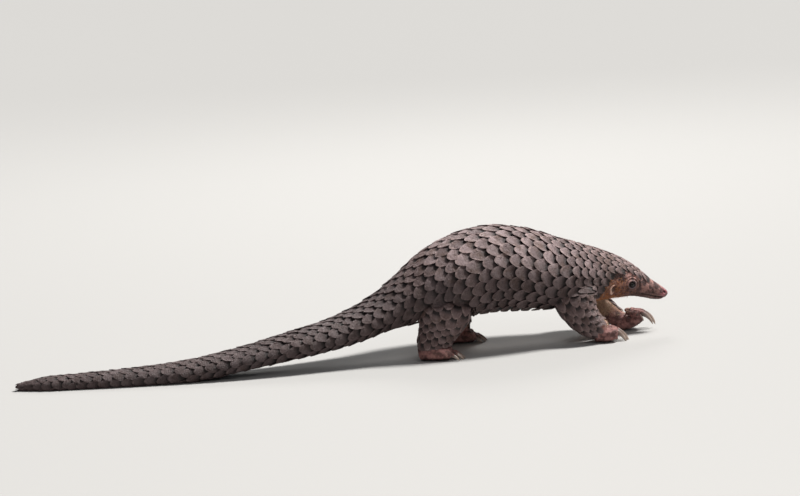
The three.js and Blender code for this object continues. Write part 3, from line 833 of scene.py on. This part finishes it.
# The number of rows each side of the tail, up to each place
TAIL_ROWS = [("tailSecond", 7), ("tailFourth", 6), ("tailSixth", 5), ("tip", 4)]
LEG_ROWS = 4
FLOOR_GAP = 0.1
TEAR = 11  # a scale whose corners would be moved this much apart is left out
SUNK = 9  # so is one that would end this deep inside a limb
FORE_BURIED, HIND_BURIED = 13, 24  # a scale of a leg's top that starts this deep in the body is left out
LEG_TOP = 30
PINCHED = 14  # so are those on the sides of the near foreleg, up to this distance from its top


def leg_reach(s):
    """How far round a leg its scales reach, in radians: further at its top."""
    return np.radians(mix(118, 92, ease(18, 48, s)))


def body_edge(s):
    return math.radians(scale_reach(s))


def tail_rows(s):
    return next((count for limit, count in TAIL_ROWS if s < place[limit]), TAIL_ROWS[-1][1])


def body_rows(s):
    """The number of rows on each side, and the width of one."""
    arc = body.arc_at(s, body_edge(s))
    if s < place["root"]:
        return round(arc / row_width(s)), row_width(s)
    return tail_rows(s), arc / tail_rows(s)


def leg_ring(s):
    return mix(7.4, 5.4, ease(10, 70, s))


def leg_lift(s):
    return mix(1.8, 3.0, ease(8, 34, s)) - ease(50, 75, s)


def build_body_scales():
    marks = np.arange(0, spine.length + 1, 2.0)
    reach = np.array([body.arc_at(s, body_edge(s)) for s in marks])
    found = scale_rows(place["snout"] + 3, spine.length - 9, body_rows, scale_room, scale_lift)
    counts = np.array([tail_rows(s) for s in found[:, 0]])[:, None, None]
    hidden = spoiled_by_limbs(found)
    names = ("scales_head", "scales_back", "scales_loin", "scales_tail")
    limits = (0, place["withers"], place["hump"] + 20, place["root"], spine.length)
    for name, start, end in zip(names, limits, limits[1:]):
        chosen = (found[:, 0] >= start) & (found[:, 0] < end) & ~hidden
        pitch_at = row_width
        if name == "scales_tail":
            pitch_at = lambda s: np.interp(s, marks, reach) / counts[chosen]
        yield scale_mesh(name, body, found[chosen], pitch_at, drape=True)


def build_leg_scales():
    for name, skin in limbs.items():
        fore = "fore" in name
        track = skin.track
        steps = np.arange(0, track.length + 1, 2.0)
        wide = np.array([skin.arc_at(s, leg_reach(s)) for s in steps]) / LEG_ROWS
        pitch_at = lambda s: np.interp(s, steps, wide)
        end = track.marks[3] + (3 if fore else 2)
        rows = scale_rows(1, end, lambda s: (LEG_ROWS, pitch_at(s)), leg_ring, leg_lift)
        places = skin.point(rows[:, 0], skin.angle_at(rows[:, 0], rows[:, 1] * rows[:, 2]))
        depth = -body.locate(places)[2]
        buried = (depth > (FORE_BURIED if fore else HIND_BURIED)) & (rows[:, 0] <= LEG_TOP)
        pinched = (name == "foreleg_right") & (rows[:, 0] < PINCHED) & (np.abs(rows[:, 1]) > 1)
        rows = rows[~buried & ~pinched]
        yield scale_mesh("scales_" + name, skin, rows, pitch_at, length=2.6, width=1.34, thick=1.5)


# Hair: where along a tuft its rings lie, and how wide it is there
STRAND_STEPS = np.array([0, 0.34, 0.7, 1.0])
STRAND_TAPER = np.array([1.0, 0.85, 0.5, 0.04])
TUFT_PATCH = 0.003  # each tuft's place in the flat map
BETWEEN_LEGS = 250  # the forelegs have a larger x, the hind legs a smaller one


def strands(name, roots, normals, flow, uv, length, width, warmth):
    """Thin tapered tufts that rise from their roots and bend over along the lie of the coat."""
    count = len(roots)
    out = unit(normals)
    along = unit(flow - out * dot(flow, out))
    across = np.cross(out, along)
    stray = rng.normal(0, 0.28, (count, 1))
    along = unit(along + across * stray)
    across = np.cross(out, along)
    length = length * rng.uniform(0.7, 1.25, count)
    stand = rng.uniform(0.16, 0.42, count)
    t = STRAND_STEPS[None, :]
    forward = length[:, None] * t
    height = length[:, None] * stand[:, None] * (t - 0.62 * t * t) - 0.5 * (1 - t)
    curl = rng.normal(0, 0.12, (count, 1)) * length[:, None] * t * t
    middle = (roots[:, None] + along[:, None] * forward[..., None] + out[:, None] * height[..., None]
              + across[:, None] * curl[..., None])
    corners = np.radians([90, 210, 330])
    half = (width * rng.uniform(0.7, 1.3, count))[:, None] * 0.5 * STRAND_TAPER[None, :]
    spokes = (across[:, None, None] * np.cos(corners)[None, None, :, None]
              + out[:, None, None] * (0.6 * np.sin(corners))[None, None, :, None])
    rings = middle[:, :, None] + spokes * half[:, :, None, None]
    sides = grid_faces(len(STRAND_STEPS), 3, closed=True)
    size = len(STRAND_STEPS) * 3
    caps = np.array([[2, 1, 0], [size - 3, size - 2, size - 1]])
    offsets = (np.arange(count) * size)[:, None, None]
    faces = [(sides + offsets).reshape(-1, 4), (caps + offsets).reshape(-1, 3)]
    obj = new_object(name, rings.reshape(-1, 3), faces)
    mesh = obj.data
    store(mesh, "run", np.tile(np.repeat(STRAND_STEPS, 3), count))
    store(mesh, "tone", np.repeat(rng.uniform(0, 1, count), size))
    store(mesh, "warmth", np.repeat(warmth, size))
    patch = np.stack([np.tile(np.linspace(0, TUFT_PATCH, 3), len(STRAND_STEPS)),
                      np.repeat(STRAND_STEPS * TUFT_PATCH, 3)], axis=1)
    store_uv(mesh, "OFBake", (uv[:, None] + patch[None]).reshape(-1, 2))
    return obj


def build_hair(obj, facts):
    """Sparse hair where no scales are: throat, cheeks, chest, belly and the insides of the legs."""
    mesh = obj.data
    mesh.calc_loop_triangles()
    corners = np.empty(len(mesh.loop_triangles) * 3, np.int32)
    mesh.loop_triangles.foreach_get("vertices", corners)
    corners = corners.reshape(-1, 3)
    points, normals = facts["points"], normals_of(mesh)
    s, degrees, part = facts["s"], np.degrees(np.abs(facts["angle"])), facts["part"]
    trunk, limb = part == 0, (part > 0) & (part <= len(limbs))
    bare = (1 - facts["covered"]) * (1 - facts["cup"])

    def stretch(*names):
        return trunk * between(s, *(place[name] for name in names))

    throat = stretch("brow", "crown", "shoulder", "withers") * ease(78, 112, degrees) * bare
    cheek = stretch("snout", "brow", "ears", "neck") * ease(60, 80, degrees) * bare * (1 - throat)
    belly = trunk * between(s, place["neck"], place["withers"], place["root"] - 20, place["root"]) * bare
    chest = belly * (1 - ease(place["chest"], place["ribs"], s))
    legs = limb * bare * ease(20, 34, points[:, 2])
    front = points[:, 0] > BETWEEN_LEGS
    # Each region's name, share, tufts to a square millimetre, their length and width, and their warmth
    regions = (
        ("hair_throat", throat, 0.9, 5.4, 0.34, 1.1 - ease(place["ears"], place["withers"], s)),
        ("hair_cheeks", cheek, 0.25, 2.2, 0.22, 0.8 + 0 * s),
        ("hair_chest", chest, 0.8, 6.5, 0.36, 0.1 + 0 * s),
        ("hair_belly", belly - chest, 0.24, 6.5, 0.4, 0.12 + 0 * s),
        ("hair_forelegs", legs * front, 0.85, 4.4, 0.3, 0.3 + 0 * s),
        ("hair_hindlegs", legs * ~front, 0.5, 4.4, 0.3, 0.3 + 0 * s),
    )
    a, b, c = (points[corners[:, k]] for k in range(3))
    area = np.linalg.norm(np.cross(b - a, c - a), axis=1) / 2
    pieces = []
    for name, weight, density, length, width, warmth in regions:
        share = weight[corners].mean(axis=1) * area
        count = int(share.sum() * density)
        chosen = np.searchsorted(np.cumsum(share) / share.sum(), rng.uniform(0, 1, count))
        chosen = np.clip(chosen, 0, len(corners) - 1)
        mixing = rng.dirichlet((1, 1, 1), count)

        def at(values, chosen=chosen, mixing=mixing):
            return (values[corners[chosen]] * mixing[..., None]).sum(axis=1)

        hue = np.clip(warmth[corners[chosen, 0]] + rng.normal(0, 0.12, count), 0, 1)
        uv = facts["uv"][corners[chosen, 0]]
        pieces.append(strands(name, at(points), at(normals), at(facts["flow"]), uv, length, width, hue))
    return pieces


# Claws, eyes and ears
def claw_rings(claw, steps=22, sides=18):
    forward, across = claw_frame(claw)
    t = np.linspace(0, 1, steps)[:, None, None]
    start, turn = math.radians(claw["pitch"]), math.radians(claw["curl"])
    length, width = claw["length"], claw["width"]
    bend = start + turn * t
    run = (np.sin(bend) - math.sin(start)) / turn * length
    fall = (math.cos(start) - np.cos(bend)) / turn * length
    normal = forward * np.sin(bend) + UP * np.cos(bend)
    angles = turns(sides)[None, :, None]
    taper = np.maximum(1 - t, 0.0) ** 0.62 + 0.03
    across_size = width * 0.42 * taper * (1 - 0.25 * np.clip(np.cos(angles), 0, 1))
    middle = np.array(claw["root"]) - forward * 2 + forward * run - UP * fall
    return middle + across * np.sin(angles) * across_size + normal * np.cos(angles) * width * 0.5 * taper


def build_claws():
    pile = Pile()
    lengths = []
    for claws in CLAWS.values():
        for claw in claws:
            rings = claw_rings(claw)
            pile.add(*closed_loft(rings))
            run = np.repeat(np.linspace(0, 1, rings.shape[0]), rings.shape[1])
            lengths.append(np.concatenate([run, [0, 1]]))
    obj = pile.build("claws")
    store(obj.data, "run", np.concatenate(lengths))
    points = points_of(obj.data)
    points[:, 2] = np.maximum(points[:, 2], FLOOR_GAP)
    set_points(obj.data, points)
    return obj


def build_eye(name, side):
    origin, back, across, out = spot_frame(EYE, side)
    down, round_the_eye = np.linspace(0.01, math.pi - 0.01, 28), turns(40)[:, None]
    radius = (EYE["radius"] - 0.1) * (1 + 0.07 * bump(down, 0, 0.5))[:, None, None]
    ring = np.cos(round_the_eye) * back + np.sin(round_the_eye) * across
    shape = np.sin(down)[:, None, None] * ring + np.cos(down)[:, None, None] * out
    obj = lofted("eyeball_" + name, origin - out * EYE["depth"] + shape * radius)
    store(obj.data, "axis", np.concatenate([np.repeat(down, len(round_the_eye)), [0, math.pi]]))
    return obj


def build_ear(name, side):
    """A thick rim that stands in an arc round the back of the ear pit."""
    origin, back, across, out = spot_frame(EAR, side)
    up = -across * side
    arc = np.radians(np.linspace(-112, 104, 44))
    section = turns(18)
    rings = []
    for turn in arc:
        fade = math.cos(turn * 0.8) ** 0.7
        spoke = back * math.cos(turn) + up * math.sin(turn)
        base = origin + back * math.cos(turn) * 4.9 + up * math.sin(turn) * 6.9
        lean = unit(out * 0.85 + spoke * 0.62)
        tall, thin = 7.4 * fade + 0.3, 1.5 * (0.55 + 0.45 * fade)
        flesh = np.cos(section)[:, None] * lean * tall * 0.5 + np.sin(section)[:, None] * spoke * thin
        curl = ease(0, 1, np.cos(section))[:, None] * (-spoke) * 0.9 * fade
        rings.append(base + lean * (tall * 0.5 - 2.6) + flesh + curl)
    obj = lofted("pinna_" + name, np.array(rings))
    flat = np.meshgrid(np.linspace(0.02, 0.9, len(section)), np.linspace(0.02, 0.98, len(arc)))
    flat = np.stack(flat, axis=2).reshape(-1, 2)
    store_uv(obj.data, "OFBake", np.vstack([flat, [[0.95, 0.02], [0.95, 0.98]]]))
    return obj


# Materials
def linear(*rgb):
    """A screen colour of 0 to 255 as the shader's own numbers."""
    share = np.array(rgb) / 255
    return (*np.where(share <= 0.04045, share / 12.92, ((share + 0.055) / 1.055) ** 2.4), 1.0)


class Shader:
    """A short way to wire a material's nodes."""

    def __init__(self, name):
        self.material = bpy.data.materials.new(name)
        self.material.use_nodes = True
        self.tree = self.material.node_tree
        self.surface = self.tree.nodes["Principled BSDF"]
        self.colour = None

    def node(self, kind, inputs=None, **settings):
        node = self.tree.nodes.new(kind)
        for key, value in settings.items():
            setattr(node, key, value)
        for key, value in (inputs or {}).items():
            self.put(node.inputs[key], value)
        return node

    def put(self, socket, value):
        if isinstance(value, bpy.types.NodeSocket):
            self.tree.links.new(value, socket)
        else:
            socket.default_value = value

    def attribute(self, name):
        return self.node("ShaderNodeAttribute", attribute_name=name).outputs["Fac"]

    def attributes(self, *names):
        return [self.attribute(name) for name in names]

    def position(self):
        return self.node("ShaderNodeTexCoord").outputs["Object"]

    def noise(self, vector, scale, detail=4.0, rough=0.55):
        inputs = {"Vector": vector, "Scale": scale, "Detail": detail, "Roughness": rough}
        return self.node("ShaderNodeTexNoise", inputs).outputs["Fac"]

    def waves(self, vector, scale, distortion, **settings):
        inputs = {"Vector": vector, "Scale": scale, "Distortion": distortion, "Detail": 3.0}
        return self.node("ShaderNodeTexWave", inputs, **settings)

    def ramp(self, value, low, high):
        inputs = {"Value": value, "From Min": low, "From Max": high}
        return self.node("ShaderNodeMapRange", inputs, interpolation_type="SMOOTHSTEP").outputs["Result"]

    def math(self, operation, a, b=0.0):
        return self.node("ShaderNodeMath", {0: a, 1: b}, operation=operation).outputs[0]

    def rest(self, value):
        return self.math("SUBTRACT", 1.0, value)

    def blend(self, share, a, b):
        return self.node("ShaderNodeMix", {0: share, 6: a, 7: b}, data_type="RGBA").outputs[2]

    def tones(self, value, low, high, dark, light):
        """Goes from one colour to another as the value goes from low to high."""
        return self.blend(self.ramp(value, low, high), linear(*dark), linear(*light))

    def cover(self, share, colour):
        """Lays a colour over the material's own where the share says."""
        self.colour = self.blend(share, self.colour, colour)

    def wash(self, share, strength, *rgb):
        """Lays a colour over the material's own, as strongly as the share and the strength say."""
        self.cover(self.math("MULTIPLY", share, strength), linear(*rgb))

    def surface_values(self, values):
        for name, value in values.items():
            self.surface.inputs[name].default_value = value

    def stretched(self, vector, scale):
        return self.node("ShaderNodeMapping", {"Vector": vector, "Scale": scale}).outputs[0]

    def finish(self, rough, heights):
        """Sets colour and roughness, and stacks bumps of (height, depth in metres)."""
        self.put(self.surface.inputs["Base Color"], self.colour)
        self.put(self.surface.inputs["Roughness"], rough)
        below = {}
        for height, depth in heights:
            inputs = {"Height": height, "Distance": depth, "Strength": 1.0}
            below = {"Normal": self.node("ShaderNodeBump", inputs | below).outputs[0]}
        for name, normal in below.items():
            self.put(self.surface.inputs[name], normal)
        return self.material


FLESH_GLOW = (0.004, 0.0015, 0.001)  # how far red, green and blue light spreads in the skin, in metres


def scale_material():
    m = Shader("horn_scales")
    grain = m.node("ShaderNodeUVMap", uv_map="Grain").outputs[0]
    where = m.position()
    run, rim, tone = m.attributes("run", "rim", "tone")
    streak = m.noise(m.stretched(grain, (2.2, 0.13, 1)), 1.0, 5)
    fine = m.noise(m.stretched(grain, (6.0, 0.4, 1)), 1.0, 3)
    patch, fleck = m.noise(where, 60, 5), m.noise(where, 260, 4)
    broad = m.noise(where, 9, 3)
    m.colour = m.tones(tone, 0.0, 1.0, (92, 75, 75), (142, 123, 123))
    m.wash(m.ramp(broad, 0.42, 0.62), 0.5, 112, 86, 80)
    m.wash(m.ramp(patch, 0.47, 0.68), 0.8, 84, 61, 50)
    m.wash(m.ramp(streak, 0.5, 0.8), 0.55, 190, 166, 168)
    m.wash(m.ramp(fine, 0.5, 0.8), 0.45, 54, 40, 40)
    m.wash(m.ramp(fleck, 0.58, 0.72), 0.6, 48, 36, 34)
    boss = m.math("MULTIPLY", m.rest(m.ramp(rim, 0.02, 0.34)), m.ramp(run, 0.45, 0.62))
    m.wash(boss, 0.45, 74, 54, 48)
    worn = m.math("MULTIPLY", m.ramp(rim, 0.72, 0.98), m.ramp(m.noise(where, 170, 3), 0.4, 0.62))
    m.wash(worn, 0.55, 176, 152, 148)
    # Darkens the scales where the value says: partly dirt, partly painted shade of the low flank, tail and
    # legs
    m.wash(m.attribute("grime_and_shade"), 0.75, 48, 36, 36)
    # Painted shade: each scale is darkened near its root, next to the tip of the scale lying over it, where
    # shadow falls under the overlap
    deep = m.rest(m.ramp(run, 0.34, 0.64))
    m.wash(deep, 0.92, 26, 18, 17)
    rough = m.ramp(m.noise(where, 120, 3), -1.0, 1.7)
    ridges = m.waves(grain, 0.34, 5.0, bands_direction="X")
    ridges.inputs["Detail Scale"].default_value = 0.6
    smooth_tip = m.rest(m.math("MULTIPLY", m.ramp(run, 0.6, 1.0), 0.75))
    ridged = m.math("MULTIPLY", ridges.outputs["Fac"], smooth_tip)
    rings = m.waves(grain, 0.1, 7.0, bands_direction="Y")
    m.surface_values({"Specular IOR Level": 0.42})
    heights = [(streak, 0.0011), (ridged, 0.00016), (rings.outputs["Fac"], 0.00012)]
    heights += [(m.noise(where, 420, 3), 0.0003), (m.noise(where, 90, 2), 0.0016)]
    return m.finish(rough, heights)


def skin_material():
    m = Shader("bare_skin")
    where = m.position()
    face, nose, paw, covered = m.attributes("face", "nose", "paw", "covered")
    patch, mottle, speck = m.noise(where, 34, 4), m.noise(where, 130, 4), m.noise(where, 420, 4)
    m.colour = m.tones(patch, 0.35, 0.7, (168, 134, 114), (204, 172, 150))
    blotch = m.ramp(m.noise(where, 85, 3), 0.46, 0.6)
    m.cover(face, m.tones(mottle, 0.41, 0.59, (62, 35, 32), (172, 128, 119)))
    m.wash(m.math("MULTIPLY", face, blotch), 0.55, 50, 29, 28)
    m.cover(paw, m.tones(mottle, 0.38, 0.64, (88, 54, 50), (164, 116, 110)))
    m.cover(nose, m.tones(mottle, 0.4, 0.62, (98, 36, 44), (170, 98, 106)))
    # Painted shade under the jaw and the lower face
    m.wash(m.attribute("jaw_shade"), 0.7, 62, 36, 34)
    m.wash(m.attribute("lid"), 0.8, 98, 96, 106)
    m.wash(m.attribute("cup"), 0.7, 210, 170, 150)
    # Painted shade in the face's hollows and folds, and a painted highlight on its raised parts
    rise = m.attribute("rise")
    sunk_shade = m.rest(m.ramp(rise, -0.75, 0.05))
    m.wash(sunk_shade, 0.7, 48, 28, 25)
    m.wash(m.ramp(rise, 0.15, 0.9), 0.22, 180, 142, 132)
    m.wash(m.ramp(speck, 0.55, 0.75), 0.35, 74, 46, 40)
    # Painted shade: the skin under the scales is painted near-black so the gaps between scales read as
    # shadow
    m.cover(covered, linear(40, 30, 27))
    stray = m.node("ShaderNodeTexNoise", {"Scale": 90.0}).outputs["Color"]
    warped = m.node("ShaderNodeMix", {0: 0.012, 4: where, 5: stray}, data_type="VECTOR").outputs[1]
    cells = {"Vector": warped, "Scale": 520.0, "Randomness": 1.0}
    folds = m.node("ShaderNodeTexVoronoi", cells, feature="DISTANCE_TO_EDGE")
    crease = m.ramp(folds.outputs["Distance"], 0.0, 0.3)
    wrinkle = m.noise(m.stretched(where, (260, 90, 260)), 1.0, 4, 0.6)
    # Painted shade along the fine skin creases
    m.wash(m.rest(crease), 0.16, 84, 52, 46)
    rough = m.math("SUBTRACT", m.ramp(m.noise(where, 200, 3), -1.2, 1.7), m.math("MULTIPLY", nose, 0.32))
    m.surface_values({"Subsurface Weight": 0.08, "Subsurface Radius": FLESH_GLOW})
    return m.finish(rough, [(wrinkle, 0.0012), (crease, 0.00022), (mottle, 0.0006), (speck, 0.0003)])


def hair_material():
    m = Shader("body_hair")
    run, tone, warmth = m.attributes("run", "tone", "warmth")
    pale = m.blend(tone, linear(206, 178, 144), linear(244, 226, 198))
    warm = m.blend(tone, linear(150, 88, 50), linear(216, 146, 92))
    m.colour = m.blend(warmth, pale, warm)
    m.wash(m.rest(m.ramp(run, 0.0, 0.5)), 0.35, 96, 62, 46)
    where = m.position()
    m.surface_values({"Specular IOR Level": 0.35})
    return m.finish(m.ramp(m.noise(where, 300, 2), -0.8, 1.8), [])


def ear_material():
    m = Shader("ear_skin")
    where = m.position()
    mottle, speck = m.noise(where, 180, 4), m.noise(where, 600, 3)
    m.colour = m.tones(mottle, 0.35, 0.66, (178, 132, 116), (230, 198, 178))
    m.wash(m.ramp(speck, 0.5, 0.75), 0.4, 112, 70, 60)
    m.surface_values({"Subsurface Weight": 0.15, "Subsurface Radius": FLESH_GLOW})
    return m.finish(m.ramp(speck, -1.4, 1.8), [(mottle, 0.0008), (speck, 0.0003)])


def claw_material():
    m = Shader("claw_horn")
    where = m.position()
    run = m.attribute("run")
    streak = m.noise(m.stretched(where, (60, 420, 160)), 1.0, 4)
    m.colour = m.tones(run, 0.0, 0.8, (82, 66, 62), (166, 148, 136))
    m.wash(m.ramp(streak, 0.42, 0.7), 0.55, 92, 68, 56)
    return m.finish(m.ramp(streak, -0.6, 2.0), [(streak, 0.0005)])


def eye_material():
    m = Shader("eye_dark")
    axis = m.attribute("axis")
    where = m.position()
    iris = m.tones(m.noise(where, 900, 3), 0.3, 0.7, (10, 7, 6), (24, 16, 12))
    pupil = m.blend(m.ramp(axis, 0.42, 0.5), linear(6, 5, 5), iris)
    m.colour = m.blend(m.ramp(axis, 0.98, 1.12), pupil, linear(70, 56, 50))
    m.surface_values({"Specular IOR Level": 0.1, "Coat Weight": 1.0})
    m.surface_values({"Coat IOR": 1.3, "Coat Roughness": 0.02})
    return m.finish(m.ramp(m.noise(where, 300, 2), -3.0, 4.0), [])


def dress(obj, material, slot, *nodes):
    """Gives a piece its material and its body, and hides the solids that it stands in for; its slot is not
    used.
    """
    obj.data.materials.clear()
    obj.data.materials.append(material)
    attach(obj, "root")
    if nodes:
        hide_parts(*nodes)


# Stage
FLOOR_SIZE = 30.0


def build_stage():
    mesh = bpy.data.meshes.new("floor")
    corners = [(x * FLOOR_SIZE, y * FLOOR_SIZE, 0) for x, y in ((-1, -1), (1, -1), (1, 1), (-1, 1))]
    mesh.from_pydata(corners, [], [(0, 1, 2, 3)])
    floor = add_object("floor", mesh)
    m = Shader("pale_floor")
    m.surface_values({"Base Color": (0.385, 0.38, 0.37, 1), "Roughness": 0.75})
    mesh.materials.append(m.material)
    world = bpy.data.worlds.new("studio")
    world.use_nodes = True
    sky = world.node_tree.nodes["Background"].inputs
    sky["Color"].default_value = (0.92, 0.94, 1.0, 1)
    sky["Strength"].default_value = 0.2
    bpy.context.scene.world = world


def add_lamp(name, kind, direction, energy, colour):
    data = bpy.data.lights.new(name, kind)
    data.energy, data.color = energy, colour
    lamp = add_object(name, data)
    lamp.rotation_euler = Vector(direction).to_track_quat("-Z", "Y").to_euler()
    return lamp


def add_sun(name, towards, strength, softness, colour):
    lamp = add_lamp(name, "SUN", -np.array(towards), strength, colour)
    lamp.data.angle = math.radians(softness)


def add_softbox(name, where, target, size, watts, colour):
    lamp = add_lamp(name, "AREA", np.array(target) - np.array(where), watts, colour)
    lamp.location = where
    lamp.data.shape = "DISK"
    lamp.data.size = size


# The photo's view: angles in degrees, the rest in metres and pixels
VIEW = dict(
    elevation=10.0, roll=3.5, distance=5.0, aim=(0.084, -0.028, 0.158), metres_per_pixel=0.0014, width=800,
)


def build_camera():
    e, r = math.radians(VIEW["elevation"]), math.radians(VIEW["roll"])
    back = Vector((0, -math.cos(e), math.sin(e)))
    right = Vector((1, 0, 0))
    up = back.cross(right)
    turned_right = right * math.cos(r) - up * math.sin(r)
    turned_up = right * math.sin(r) + up * math.cos(r)
    data = bpy.data.cameras.new("camera")
    data.sensor_width = 36.0
    data.lens = data.sensor_width * VIEW["distance"] / (VIEW["metres_per_pixel"] * VIEW["width"])
    camera = add_object("camera", data)
    rotation = Matrix((turned_right, turned_up, back)).transposed().to_4x4()
    camera.matrix_world = Matrix.Translation(Vector(VIEW["aim"]) + back * VIEW["distance"]) @ rotation
    data.clip_end = 100
    bpy.context.scene.camera = camera


build_camera()
build_stage()
add_sun("sun", (0.62, 0.2, 1.0), 6.3, 14, (1.0, 0.985, 0.96))
add_softbox("front", (0.9, -2.0, 1.9), (0.1, 0, 0.08), 1.2, 11, (1.0, 0.97, 0.95))
add_softbox("back", (0.3, 2.0, 1.5), (0.1, 0, 0.1), 1.0, 14, (1.0, 0.98, 0.95))
bpy.context.scene.view_settings.view_transform = "Standard"

FLESH = [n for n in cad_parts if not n.startswith(("eye", "ear"))]
horn, bare, claw_horn, dark_eye = scale_material(), skin_material(), claw_material(), eye_material()
fur, ear_skin = hair_material(), ear_material()
skin_piece, skin_facts = build_skin()
dress(skin_piece, bare, "skin", *FLESH)
for piece in [*build_body_scales(), *build_leg_scales()]:
    dress(piece, horn, "scales")
for piece in build_hair(skin_piece, skin_facts):
    dress(piece, fur, "hair")
dress(build_claws(), claw_horn, "claw")
for side_name, side_sign in SIDES:
    dress(build_eye(side_name, side_sign), dark_eye, "eye", "eye_" + side_name)
    dress(build_ear(side_name, side_sign), ear_skin, "skin", "ear_" + side_name)
